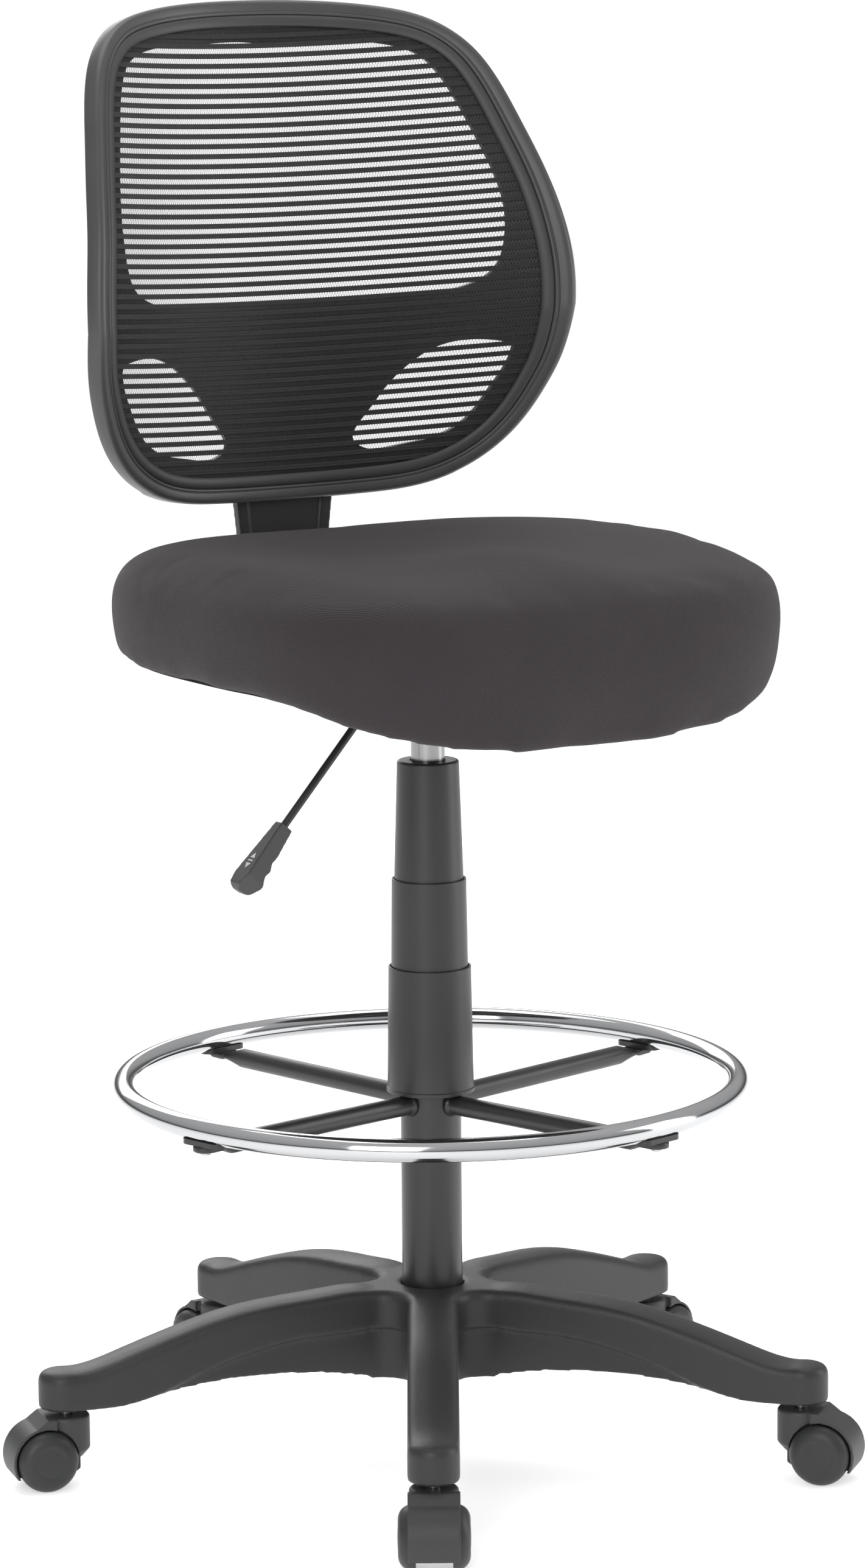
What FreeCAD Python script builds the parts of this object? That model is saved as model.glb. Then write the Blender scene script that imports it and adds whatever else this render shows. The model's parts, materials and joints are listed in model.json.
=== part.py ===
"""Drafting chair: five-leg caster base, gas lift with telescopic sleeves, foot ring,
padded seat and mesh back.

Frame: millimetres, +Z up, origin on the floor on the column axis.
The chair faces -Y, so the sitter's right hand is on the -X side.
"""
import FreeCAD
import Part
import math
import os

V = FreeCAD.Vector
Z_AXIS = V(0, 0, 1)
ORIGIN = V(0, 0, 0)

# ---- base star ----
LEG_COUNT = 5
FIRST_LEG_ANGLE = 238.5          # degrees from +X
STEM_RADIUS_POS = 315.0          # caster stems' distance from the column axis
LEG_HALF_WIDTH = 20.5
LEG_TIP_CENTRE = 316.5           # centre of the rounded leg tip
LEG_TIP_TOP = 97.0
LEG_TIP_BOTTOM = 64.5
WEB_HALF_WIDTH = 16.0
LEG_WALL = 4.0
CROWN_DROP = 1.2                 # sag of the leg's crown at its shoulder
CROWN_INSET = 8.0
SHOULDER_DROP = 9.0
HUB_RADIUS = 40.0
LEG_FILLET = 22.0                # concave fillet between neighbouring legs, in plan
BAND_LOW = 111.5                 # underside of those fillets' upper band
FILLET_OVERLAP = 0.05            # the fillets run this far into the legs' walls
RIB_THICKNESS = 3.0
RIB_SPACING = 30.0
HUB_TOP = 143.2
HUB_BOTTOM = 66.0

# ---- casters ----
CASTER_TRAIL = 20.0              # axle behind the stem
AXLE_HALF = 26.0
AXLE_BORE_END = 26.3             # the wheels' outer faces are closed
WHEEL_RADIUS = 25.0
WHEEL_INNER = 14.4               # inner face of a wheel, from the caster's middle
WHEEL_OUTER = 28.6
AXLE_RADIUS = 3.0
RUNNING_GAP = 0.05
STEM_RADIUS = 5.5
STEM_TOP = 88.0
SOCKET_TOP = 90.0
HOOD_RADIUS = 28.6
HOOD_HALF_WIDTH = 20.5
HOOD_CORE_HALF = 13.6
HOOD_TOP = 59.5
HOOD_SHOULDER = 46.0
HOOD_SIDE_REAR = 4.0             # the hood's side walls end here, on the neck
NECK_RADIUS = 19.5
HOOD_LIP = 11.7                  # the hood's lower edge above the floor
WHEEL_CAVITY_RADIUS = 26.3

# ---- column and gas lift ----
COLUMN_RADIUS = 25.0
COLUMN_WALL = 1.6
COLUMN_TOP = 400.0
END_PLATE = 3.0
ROD_RADIUS = 5.0
CYLINDER_RADIUS = 14.0
CYLINDER_BORE = 12.0
CYLINDER_BOTTOM = 268.0
CYLINDER_TOP = 640.0
TAPER_START = 602.0
TAPER_TOP_RADIUS = 13.2
CYLINDER_ROOM_TOP = 596.0
BUTTON_RADIUS = 4.0
BUTTON_TOP = 647.5
BUSHING_LENGTH = 70.0

# ---- telescopic sleeves: (bottom z, top z, bottom radius, top radius) ----
SLEEVE_WALL = 1.6
SLEEVES = {
    "sleeve_lower": (304.5, 409.0, 35.6, 34.0),
    "sleeve_middle": (377.5, 482.0, 32.1, 30.6),
    "sleeve_upper": (472.0, 580.0, 28.8, 25.3),
}
SLEEVE_LIP = 0.9

# ---- foot ring ----
RING_RADIUS = 253.0
RING_TUBE = 9.5
RING_WALL = 1.5
RING_Z = 312.0
SPOKE_COUNT = 4
FIRST_SPOKE_ANGLE = 13.5
SPOKE_RADIUS = 8.2
SPOKE_HUB_Z = 295.5
SPOKE_END_Z = 297.5
SPOKE_FLAT_START = 226.0
TONGUE_HALF_WIDTH = 10.0
TONGUE_THICKNESS = 5.0
SADDLE_THICKNESS = 2.0

# ---- seat ----
SEAT_HALF_WIDTH = 255.0
SEAT_HALF_DEPTH = 241.0
SEAT_CENTRE_Y = -28.0
SEAT_POWER = 3.0                 # superellipse exponent of the plan
PAN_BOTTOM = 667.0
PAN_THICKNESS = 12.0
PAN_INSET = 34.0
FRONT_DROP_START = -100.0        # the board curves down in front of this y
FRONT_DROP_RADIUS = 313.0
CUSHION_TOP = 764.0

# ---- mechanism and lever ----
TRAY_HALF_X = 45.0
TRAY_HALF_Y = 92.0
TRAY_BOTTOM = 612.0
TRAY_WALL = 2.5
FLANGE_HALF_X = 95.0
SOCKET_RADIUS = 22.0
SOCKET_BOTTOM = 605.0
LEVER_RADIUS = 3.25
LEVER_Z = 651.0
PIN_RADIUS = 1.5
LEVER_PIVOT_X = -30.0
LEVER_BEND_X = -36.0
LEVER_END = (-137.5, 537.0)      # x and z where the rod enters the paddle
PADDLE_LENGTH = 64.0
BOLT_RADIUS = 3.0
PAN_BOLTS = [(sx * 80.0, sy * 70.0) for sx in (-1, 1) for sy in (-1, 1)]
BRACKET_BOLTS = [(-25.0, 122.0), (25.0, 122.0), (0.0, 160.0)]
ARM_X = 190.0                    # optional arm brackets: two bolts on each side
ARM_SPACING = 101.6
ARM_CENTRE_Y = 10.0
ARM_BOLTS = [(sx * ARM_X, ARM_CENTRE_Y + sy * ARM_SPACING / 2) for sx in (-1, 1) for sy in (-1, 1)]
ALL_NUTS = PAN_BOLTS + BRACKET_BOLTS + ARM_BOLTS
NUT_BARREL = 4.2                 # T-nut: barrel radius, flange radius and flange thickness
NUT_FLANGE_RADIUS = 9.0
NUT_FLANGE = 1.2

# ---- back: offsets are along +Y from the front surface ----
BACK_POINTS_Z = [755, 800, 841, 883, 924, 966, 1006, 1047, 1087, 1128, 1150, 1210]
BACK_POINTS_Y = [217, 217, 217, 216.5, 216, 216.5, 220, 230, 243, 257, 264, 284]
WING_CURVE = 0.0018              # the wings come forward by this times x squared
WING_CURVE_LOW = 0.0013
WING_LOW_Z = 790.0
WING_HIGH_Z = 930.0
RIM_DEPTH = 15.0
RIM_WIDTH = 13.0
BEAD_WIDTH = 10.0
MESH_FRONT = 3.0
MESH_THICKNESS = 1.2
SHELL_FRONT = 6.0
SHELL_BACK = 11.0
OUTLINE_HALF = [
    (0, 1191), (60, 1189.5), (110, 1184.5), (150, 1173), (177, 1150), (189, 1128), (202, 1087),
    (212.5, 1047), (220, 1006), (224.8, 966), (224.8, 924), (218.5, 883), (211, 862), (201, 841),
    (186.5, 820), (163, 799), (128, 782.5), (70, 774.5), (0, 773),
]
TOP_WINDOW_HALF = [
    (0, 1154), (60, 1154), (112, 1151.5), (142, 1140), (157, 1117), (170, 1079), (180, 1044),
    (184.5, 1014), (183, 988), (175, 964), (150, 948), (105, 941.5), (50, 939), (0, 938.5),
]
LOW_WINDOW = [
    (186, 900), (165, 903), (135, 899), (110, 884), (89, 863), (73, 842), (62, 820), (72, 813),
    (100, 814), (130, 820), (158, 837), (175, 863), (187, 888),
]

# ---- back bracket ----
BRACKET_FRONT = 228.0
BRACKET_THICKNESS = 8.0
BRACKET_TOP = 862.0
BRACKET_HALF_TOP = 49.0
BRACKET_HALF_LOW = 40.0
NOTCH_HALF_WIDTH = 50.0           # the rim is relieved where the bracket passes behind it
NOTCH_GAP = 0.4
BRACKET_BACK_BOLTS = [(sx * 30.0, z) for sx in (-1, 1) for z in (812.0, 848.0)]


def polar(radius, angle, z=0.0):
    return V(radius * math.cos(math.radians(angle)), radius * math.sin(math.radians(angle)), z)


def line(start, end):
    return Part.LineSegment(start, end).toShape()


def arc(start, middle, end):
    return Part.Arc(start, middle, end).toShape()


def rounded_wire(points, place):
    """Closed wire through (a, b) or (a, b, corner radius) points; place maps (a, b) to a vector."""
    count = len(points)
    starts = []
    for i in range(count):
        here = V(points[i][0], points[i][1], 0)
        before = V(points[i - 1][0], points[i - 1][1], 0)
        after = V(points[(i + 1) % count][0], points[(i + 1) % count][1], 0)
        radius = points[i][2] if len(points[i]) > 2 else 0
        if radius <= 0:
            starts.append((here, None, here))
            continue
        to_before = (before - here).normalize()
        to_after = (after - here).normalize()
        half = to_before.getAngle(to_after) / 2
        reach = radius / math.tan(half)
        bisector = (to_before + to_after).normalize()
        middle = here + bisector * (radius / math.sin(half) - radius)
        starts.append((here + to_before * reach, middle, here + to_after * reach))
    edges = []
    for i in range(count):
        enter, middle, leave = starts[i]
        if middle is not None:
            edges.append(arc(place(enter.x, enter.y), place(middle.x, middle.y), place(leave.x, leave.y)))
        following = starts[(i + 1) % count][0]
        if leave.distanceToPoint(following) > 1e-6:
            edges.append(line(place(leave.x, leave.y), place(following.x, following.y)))
    return Part.Wire(edges)


def on_xz(a, b):
    return V(a, 0, b)


def on_yz(a, b):
    return V(0, a, b)


def turned(points):
    """Solid of revolution about Z from (radius, z[, corner radius]) points."""
    face = Part.Face(rounded_wire(points, on_xz))
    return face.revolve(ORIGIN, Z_AXIS, 360)


def side_prism(points, half_width):
    """Prism along Y of an outline in (x, z)."""
    face = Part.Face(rounded_wire(points, on_xz))
    face.translate(V(0, -half_width, 0))
    return face.extrude(V(0, 2 * half_width, 0))


def cross_prism(points, half_width):
    """Prism along X of an outline in (y, z)."""
    face = Part.Face(rounded_wire(points, on_yz))
    face.translate(V(-half_width, 0, 0))
    return face.extrude(V(2 * half_width, 0, 0))


def box(low, high):
    size = V(*high) - V(*low)
    return Part.makeBox(size.x, size.y, size.z, V(*low))


def rod(radius, bottom, top, x=0.0, y=0.0):
    return Part.makeCylinder(radius, top - bottom, V(x, y, bottom))


def cross_rod(radius, x, z, low_y, high_y):
    """Cylinder along Y."""
    return Part.makeCylinder(radius, high_y - low_y, V(x, low_y, z), V(0, 1, 0))


def spin(shape, angle):
    copy = shape.copy()
    copy.rotate(ORIGIN, Z_AXIS, angle)
    return copy


def group(shapes):
    return Part.makeCompound(shapes)


# ---------------------------------------------------------------- base star
def leg_section(r, bottom, top, half_width):
    shoulder = half_width - CROWN_INSET
    right = [V(r, half_width, bottom), V(r, half_width, top - SHOULDER_DROP)]
    bend = V(r, half_width - 2.4, top - 3.4)
    crown = V(r, shoulder, top - CROWN_DROP)

    def mirrored(point):
        return V(point.x, -point.y, point.z)

    edges = [
        line(mirrored(right[0]), right[0]),
        line(right[0], right[1]),
        arc(right[1], bend, crown),
        arc(crown, V(r, 0, top), mirrored(crown)),
        arc(mirrored(crown), mirrored(bend), mirrored(right[1])),
        line(mirrored(right[1]), mirrored(right[0])),
    ]
    return Part.Wire(edges)


def leg_band():
    """The arched upper band: (distance from the axis, underside z, crown z)."""
    stations = [
        (18, 113, 143.6), (60, 112, 143.6), (100, 109.5, 142), (145, 104.5, 138), (185, 94, 131.5),
        (215, 83, 123.3), (241, 72.5, 115.2), (267, 66, 106.5), (288, LEG_TIP_BOTTOM, 99.8),
        (302, LEG_TIP_BOTTOM, LEG_TIP_TOP), (LEG_TIP_CENTRE, LEG_TIP_BOTTOM, LEG_TIP_TOP),
    ]
    sections = [leg_section(r, low, high, LEG_HALF_WIDTH) for r, low, high in stations]
    return Part.makeLoft(sections, True, False)


def leg_tip():
    """Half-round end of the leg, with the same crown as the band."""
    w = LEG_HALF_WIDTH
    top = LEG_TIP_TOP
    shoulder = w - CROWN_INSET
    crown_radius = (shoulder ** 2 + CROWN_DROP ** 2) / (2 * CROWN_DROP)
    half_sag = crown_radius - math.sqrt(crown_radius ** 2 - (shoulder / 2) ** 2)
    edges = [
        line(V(0, 0, LEG_TIP_BOTTOM), V(w, 0, LEG_TIP_BOTTOM)),
        line(V(w, 0, LEG_TIP_BOTTOM), V(w, 0, top - SHOULDER_DROP)),
        arc(V(w, 0, top - SHOULDER_DROP), V(w - 2.4, 0, top - 3.4),
                 V(shoulder, 0, top - CROWN_DROP)),
        arc(V(shoulder, 0, top - CROWN_DROP), V(shoulder / 2, 0, top - half_sag),
                 V(0, 0, top)),
        line(V(0, 0, top), V(0, 0, LEG_TIP_BOTTOM)),
    ]
    face = Part.Face(Part.Wire(edges))
    face.rotate(ORIGIN, Z_AXIS, -90)
    tip = face.revolve(ORIGIN, Z_AXIS, 180)
    tip.translate(V(LEG_TIP_CENTRE, 0, 0))
    return tip


def leg_web():
    """The recessed web under the band, arched below."""
    arch = [(30, 66.0), (59, 69.5), (85, 74.2), (138, 78.6), (190, 77.8), (225, 73.5), (252, 68.5)]
    curve = Part.BSplineCurve()
    curve.interpolate([V(r, 0, z) for r, z in arch])
    corners = [(252, 75), (215, 90), (185, 101), (145, 111), (60, 118), (30, 118)]
    loop = [V(r, 0, z) for r, z in [arch[-1]] + corners + [arch[0]]]
    edges = [curve.toShape()] + [line(p, q) for p, q in zip(loop, loop[1:])]
    face = Part.Face(Part.Wire(edges))
    face.translate(V(0, -WEB_HALF_WIDTH, 0))
    return face.extrude(V(0, 2 * WEB_HALF_WIDTH, 0))


def leg_channel():
    """Hollow under the leg, open below, with one long rib and a row of cross ribs left standing."""
    half = WEB_HALF_WIDTH - LEG_WALL
    roof = [(54, 60), (54, 136, 6), (145, 131.5, 30), (215, 117, 30), (262, 100, 10), (288, 90, 6),
            (296, 84), (296, 60)]
    thin = RIB_THICKNESS / 2
    ribs = [box((50, -thin, 50), (300, thin, 150))]
    place = 54 + RIB_SPACING
    while place < 280:
        ribs.append(box((place - thin, -half - 1, 50), (place + thin, half + 1, 150)))
        place += RIB_SPACING
    return side_prism(roof, half).cut(ribs)


def between_legs():
    """Concave fillets that join neighbouring legs round the hub, with the legs' own section."""
    half_turn = math.radians(180.0 / LEG_COUNT)
    reach = (LEG_HALF_WIDTH - FILLET_OVERLAP + LEG_FILLET) / math.sin(half_turn)
    tangent = reach * math.cos(half_turn)
    web_fillet = LEG_FILLET + LEG_HALF_WIDTH - WEB_HALF_WIDTH
    far = LEG_FILLET + 50.0
    top = HUB_TOP + 0.55
    edges = [
        line(V(LEG_FILLET, 0, BAND_LOW), V(LEG_FILLET, 0, top - SHOULDER_DROP)),
        arc(V(LEG_FILLET, 0, top - SHOULDER_DROP), V(LEG_FILLET + 2.4, 0, top - 3.4),
                 V(LEG_FILLET + CROWN_INSET, 0, top - CROWN_DROP)),
        line(V(LEG_FILLET + CROWN_INSET, 0, top - CROWN_DROP),
                         V(far, 0, top - CROWN_DROP)),
        line(V(far, 0, top - CROWN_DROP), V(far, 0, BAND_LOW)),
        line(V(far, 0, BAND_LOW), V(LEG_FILLET, 0, BAND_LOW)),
    ]
    band = Part.Face(Part.Wire(edges)).revolve(ORIGIN, Z_AXIS, 360)
    web = rod(far, 68.0, BAND_LOW + 2).cut(rod(web_fillet, 60.0, BAND_LOW + 10))
    ring = band.fuse(web)
    ring.translate(V(reach, 0, 0))
    corners = [V(0, 0, 60), polar(tangent, 36, 60), V(reach, 0, 60), polar(tangent, -36, 60), V(0, 0, 60)]
    wedge = Part.Face(Part.makePolygon(corners)).extrude(V(0, 0, 100))
    fillet = ring.common(wedge)
    step = 360.0 / LEG_COUNT
    return [spin(fillet, FIRST_LEG_ANGLE + step / 2 + i * step) for i in range(LEG_COUNT)]


def base_star():
    seat_z = HUB_TOP - 2.5
    bore = turned([(0, HUB_BOTTOM - 10), (COLUMN_RADIUS, HUB_BOTTOM - 10), (COLUMN_RADIUS, seat_z),
                   (COLUMN_RADIUS + 1.6, seat_z), (COLUMN_RADIUS + 1.6, HUB_TOP + 10), (0, HUB_TOP + 10)])
    socket = rod(STEM_RADIUS + RUNNING_GAP, LEG_TIP_BOTTOM - 5, SOCKET_TOP, STEM_RADIUS_POS)
    leg = leg_band().fuse([leg_tip(), leg_web()]).cut(leg_channel()).cut([socket, bore])
    hub = turned([(0, HUB_BOTTOM), (36, HUB_BOTTOM, 3), (HUB_RADIUS, 72, 4), (HUB_RADIUS, HUB_TOP - 2, 1),
                  (0, HUB_TOP - 2)])
    legs = [spin(leg, FIRST_LEG_ANGLE + i * 360.0 / LEG_COUNT) for i in range(LEG_COUNT)]
    fillets = [fillet.cut(bore) for fillet in between_legs()]
    return hub.cut(bore).fuse(legs + fillets).removeSplitter()


# ---------------------------------------------------------------- casters
def hood_slab(rear_x, half_width):
    """Side outline of the hood, from its rear edge at rear_x round to its lower lip, given a width."""
    lip = math.asin((HOOD_LIP - WHEEL_RADIUS) / HOOD_RADIUS)

    def rim_point(angle):
        return V(CASTER_TRAIL, 0, WHEEL_RADIUS) + V(math.cos(angle), 0, math.sin(angle)) * HOOD_RADIUS

    start = rim_point(lip)
    top = rim_point(math.radians(72))
    corners = [top, V(19, 0, HOOD_TOP), V(12, 0, HOOD_TOP), V(12, 0, HOOD_SHOULDER),
               V(rear_x, 0, HOOD_SHOULDER), V(rear_x, 0, HOOD_LIP + 4), V(rear_x + 6, 0, HOOD_LIP), start]
    edges = [arc(start, rim_point(math.radians(20)), top)]
    edges += [line(p, q) for p, q in zip(corners, corners[1:])]
    face = Part.Face(Part.Wire(edges))
    face.translate(V(0, -half_width, 0))
    return face.extrude(V(0, 2 * half_width, 0))


def caster_hood():
    """Hood and fork in one moulding; the stem is on the local origin and the axle trails along +X."""
    core = hood_slab(CASTER_TRAIL - HOOD_RADIUS, HOOD_CORE_HALF)
    sides = hood_slab(HOOD_SIDE_REAR, HOOD_HALF_WIDTH)
    neck = turned([(0, 24), (13.5, 24), (NECK_RADIUS, 31, 2), (NECK_RADIUS, HOOD_TOP, 3), (0, HOOD_TOP)])
    body = core.fuse([sides, neck])
    for low_y, high_y in ((-33, -HOOD_CORE_HALF), (HOOD_CORE_HALF, 33)):
        body = body.cut(cross_rod(WHEEL_CAVITY_RADIUS, CASTER_TRAIL, WHEEL_RADIUS, low_y, high_y))
    axle_hole = cross_rod(AXLE_RADIUS, CASTER_TRAIL, WHEEL_RADIUS, -40, 40)
    return body.cut(axle_hole).cut(rod(STEM_RADIUS, 40, 80)).removeSplitter()


def caster_wheel(side):
    """Domed wheel; side is +1 or -1 for the half of the caster it is on."""
    bore = AXLE_RADIUS + RUNNING_GAP
    tread = WHEEL_RADIUS
    edges = [
        line(V(bore, 0, WHEEL_INNER), V(tread - 1.5, 0, WHEEL_INNER)),
        arc(V(tread - 1.5, 0, WHEEL_INNER), V(tread - 0.4, 0, WHEEL_INNER + 0.4),
                 V(tread, 0, WHEEL_INNER + 1.5)),
        line(V(tread, 0, WHEEL_INNER + 1.5), V(tread, 0, 20.0)),
        arc(V(tread, 0, 20.0), V(21.6, 0, 25.4), V(12.0, 0, 28.0)),
        arc(V(12.0, 0, 28.0), V(7.0, 0, 28.42), V(2.0, 0, WHEEL_OUTER)),
        line(V(2.0, 0, WHEEL_OUTER), V(0, 0, WHEEL_OUTER)),
        line(V(0, 0, WHEEL_OUTER), V(0, 0, AXLE_BORE_END)),
        line(V(0, 0, AXLE_BORE_END), V(bore, 0, AXLE_BORE_END)),
        line(V(bore, 0, AXLE_BORE_END), V(bore, 0, WHEEL_INNER)),
    ]
    wheel = Part.Face(Part.Wire(edges)).revolve(ORIGIN, Z_AXIS, 360)
    wheel.rotate(ORIGIN, V(1, 0, 0), -90 * side)
    wheel.translate(V(CASTER_TRAIL, 0, WHEEL_RADIUS))
    return wheel


def caster_stem():
    return turned([(0, 40), (STEM_RADIUS, 40), (STEM_RADIUS, STEM_TOP, 2), (0, STEM_TOP)])


def caster_axle():
    return cross_rod(AXLE_RADIUS, CASTER_TRAIL, WHEEL_RADIUS, -AXLE_HALF, AXLE_HALF)


def casters():
    pieces = {"caster_hood": caster_hood(), "caster_stem": caster_stem(), "caster_axle": caster_axle(),
              "caster_wheel_a": caster_wheel(1), "caster_wheel_b": caster_wheel(-1)}
    nodes = {}
    for i in range(LEG_COUNT):
        angle = FIRST_LEG_ANGLE + i * 360.0 / LEG_COUNT
        for name, piece in pieces.items():
            copy = spin(piece, angle)
            copy.translate(polar(STEM_RADIUS_POS, angle))
            nodes[f"{name}_{i + 1}"] = copy
    return nodes


# ---------------------------------------------------------------- column and gas lift
def column_tube():
    tube = rod(COLUMN_RADIUS, HUB_BOTTOM, COLUMN_TOP)
    tube = tube.cut(rod(COLUMN_RADIUS - COLUMN_WALL, HUB_BOTTOM + END_PLATE, COLUMN_TOP + 10))
    return tube.cut(rod(ROD_RADIUS + 0.3, HUB_BOTTOM - 10, HUB_BOTTOM + 10))


def guide_bushing():
    outer = rod(COLUMN_RADIUS - COLUMN_WALL, COLUMN_TOP - BUSHING_LENGTH, COLUMN_TOP)
    return outer.cut(rod(CYLINDER_RADIUS + RUNNING_GAP, COLUMN_TOP - BUSHING_LENGTH - 1, COLUMN_TOP + 1))


def thrust_bearing():
    bottom = HUB_BOTTOM + END_PLATE
    return rod(12.0, bottom, bottom + 7).cut(rod(ROD_RADIUS + RUNNING_GAP, bottom - 1, bottom + 8))


def piston_rod():
    shoulder = HUB_BOTTOM + END_PLATE + 7.05
    shaft = rod(ROD_RADIUS, HUB_BOTTOM - 2.5, 291.0)
    collar = rod(8.0, shoulder, shoulder + 3.5)
    piston = rod(CYLINDER_BORE - 0.1, 283.0, 291.0)
    return shaft.fuse([collar, piston]).removeSplitter()


def retaining_clip():
    bottom = HUB_BOTTOM - 1.8
    return rod(9.0, bottom, bottom + 1.4).cut(rod(ROD_RADIUS, bottom - 1, bottom + 3))


def gas_cylinder():
    body = turned([(0, CYLINDER_BOTTOM), (CYLINDER_RADIUS, CYLINDER_BOTTOM, 1.5),
                   (CYLINDER_RADIUS, TAPER_START), (TAPER_TOP_RADIUS, CYLINDER_TOP, 1.0), (0, CYLINDER_TOP)])
    body = body.cut(rod(CYLINDER_BORE, CYLINDER_BOTTOM + 6, CYLINDER_ROOM_TOP))
    body = body.cut(rod(ROD_RADIUS + RUNNING_GAP, CYLINDER_BOTTOM - 1, CYLINDER_BOTTOM + 7))
    return body.cut(rod(BUTTON_RADIUS + RUNNING_GAP, CYLINDER_TOP - 24, CYLINDER_TOP + 1))


def release_button():
    bottom = CYLINDER_TOP - 18
    return turned([(0, bottom), (BUTTON_RADIUS, bottom), (BUTTON_RADIUS, BUTTON_TOP, 0.8), (0, BUTTON_TOP)])


def sleeve(name):
    bottom, top, low_r, high_r = SLEEVES[name]
    wall = SLEEVE_WALL
    if name == "sleeve_upper":
        hole = CYLINDER_RADIUS + 0.6
        return turned([(low_r - wall, bottom), (low_r, bottom, 0.5), (high_r, top, 2.2), (hole, top, 0.6),
                       (hole, top - 2.4), (high_r - wall, top - 2.4)])
    if name == "sleeve_lower":
        edge = low_r + SLEEVE_LIP
        foot = [(edge, bottom, 0.4), (edge, bottom + 3, 0.4), (low_r, bottom + 3.6)]
    else:
        foot = [(low_r, bottom, 0.4)]
    return turned([(low_r - wall, bottom)] + foot + [(high_r, top, 0.7), (high_r - wall, top, 0.3)])


# ---------------------------------------------------------------- foot ring
def foot_ring():
    outer = Part.makeTorus(RING_RADIUS, RING_TUBE, V(0, 0, RING_Z))
    inner = Part.makeTorus(RING_RADIUS, RING_TUBE - RING_WALL, V(0, 0, RING_Z))
    return outer.cut(inner)


def ring_spoke():
    """Tube from the column, flattened into a tongue under the ring; lies along +X."""
    start = V(COLUMN_RADIUS - 1.0, 0, SPOKE_HUB_Z)
    end = V(SPOKE_FLAT_START, 0, SPOKE_END_Z)
    run = end - start
    tube = Part.makeCylinder(SPOKE_RADIUS, run.Length, start, run)
    half = TONGUE_THICKNESS / 2
    tongue_z = RING_Z - RING_TUBE - SADDLE_THICKNESS - half
    circle = Part.Wire(Part.makeCircle(SPOKE_RADIUS, end, run))
    flat_start = SPOKE_FLAT_START + 16

    throat = Part.makeLoft([circle, slot_wire(flat_start, TONGUE_HALF_WIDTH, half, tongue_z)], True, True)
    tongue = box((flat_start, -TONGUE_HALF_WIDTH, tongue_z - half),
                 (RING_RADIUS, TONGUE_HALF_WIDTH, tongue_z + half))
    pad = rod(TONGUE_HALF_WIDTH, tongue_z - half, tongue_z + half, RING_RADIUS)
    whole = tube.fuse([throat, tongue, pad])
    whole = whole.cut(rod(COLUMN_RADIUS, 200, 400))
    weld = Part.makeTorus(SPOKE_RADIUS + 0.4, 1.6, V(COLUMN_RADIUS + 0.9, 0, SPOKE_HUB_Z), V(1, 0, 0))
    whole = whole.fuse(weld.cut(rod(COLUMN_RADIUS, 200, 400)))
    return whole.cut(rod(2.6, tongue_z - 20, tongue_z + half + 1, RING_RADIUS)).removeSplitter()


def slot_wire(x, half_width, half_height, z):
    """Flattened oval section across the spoke."""
    curve = Part.Ellipse(V(0, 0, 0), half_width, half_height)
    shape = curve.toShape()
    shape.rotate(ORIGIN, V(1, 1, 1), 120)
    shape.translate(V(x, 0, z))
    return Part.Wire(shape)


def ring_saddle():
    """Oval pad between tongue and ring, hollowed to the ring's tube."""
    low = RING_Z - RING_TUBE - SADDLE_THICKNESS
    plate = box((-8, -14, low), (8, 14, low + 4.5))
    ends = [rod(8, low, low + 4.5, 0, side * 14.0) for side in (-1, 1)]
    pad = plate.fuse(ends).removeSplitter()
    pad.translate(V(RING_RADIUS, 0, 0))
    pad = pad.cut(Part.makeTorus(RING_RADIUS, RING_TUBE, V(0, 0, RING_Z)))
    return pad.cut(rod(2.6, low - 5, low + 20, RING_RADIUS))


def ring_screw():
    """Pan-head screw up through tongue and saddle into the ring's wall."""
    head_top = RING_Z - RING_TUBE - SADDLE_THICKNESS - TONGUE_THICKNESS
    head = turned([(0, head_top - 2.6), (4.6, head_top - 2.6, 1.6), (4.6, head_top), (0, head_top)])
    shank = rod(2.4, head_top, RING_Z - RING_TUBE - 0.2)
    screw = head.fuse(shank)
    screw.translate(V(RING_RADIUS, 0, 0))
    return screw.removeSplitter()


def around_spokes(shape):
    return [spin(shape, FIRST_SPOKE_ANGLE + i * 360.0 / SPOKE_COUNT) for i in range(SPOKE_COUNT)]


# ---------------------------------------------------------------- seat
def plan_wire(inset, z):
    """Superellipse plan of the seat, drawn in by inset."""
    points = []
    steps = 32
    for i in range(steps):
        t = 2 * math.pi * i / steps
        c = math.cos(t)
        s = math.sin(t)
        x = (SEAT_HALF_WIDTH - inset) * math.copysign(abs(c) ** (2 / SEAT_POWER), c)
        y = (SEAT_HALF_DEPTH - inset) * math.copysign(abs(s) ** (2 / SEAT_POWER), s)
        points.append(V(x, SEAT_CENTRE_Y + y, z))
    curve = Part.BSplineCurve()
    curve.interpolate(points, PeriodicFlag=True)
    return Part.Wire(curve.toShape())


def board_band(low, high):
    """Everything between two heights above the seat board's curved underside, over the whole plan."""
    front = SEAT_CENTRE_Y - SEAT_HALF_DEPTH - 20
    back = SEAT_CENTRE_Y + SEAT_HALF_DEPTH + 20
    centre_z = PAN_BOTTOM - FRONT_DROP_RADIUS

    def arc_point(height, y):
        radius = FRONT_DROP_RADIUS + height
        return V(0, y, centre_z + math.sqrt(radius ** 2 - (y - FRONT_DROP_START) ** 2))

    def edge(height):
        middle = (front + FRONT_DROP_START) / 2
        start = V(0, FRONT_DROP_START, PAN_BOTTOM + height)
        curved = arc(arc_point(height, front), arc_point(height, middle), start)
        return [curved, line(start, V(0, back, PAN_BOTTOM + height))]

    ends = [line(V(0, back, PAN_BOTTOM + low), V(0, back, PAN_BOTTOM + high)),
            line(arc_point(low, front), arc_point(high, front))]
    face = Part.Face(Part.Wire(Part.__sortEdges__(edge(low) + edge(high) + ends)))
    half = SEAT_HALF_WIDTH + 20
    face.translate(V(-half, 0, 0))
    return face.extrude(V(2 * half, 0, 0))


def prism_of(wire, height):
    return Part.Face(wire).extrude(V(0, 0, height))


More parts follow.
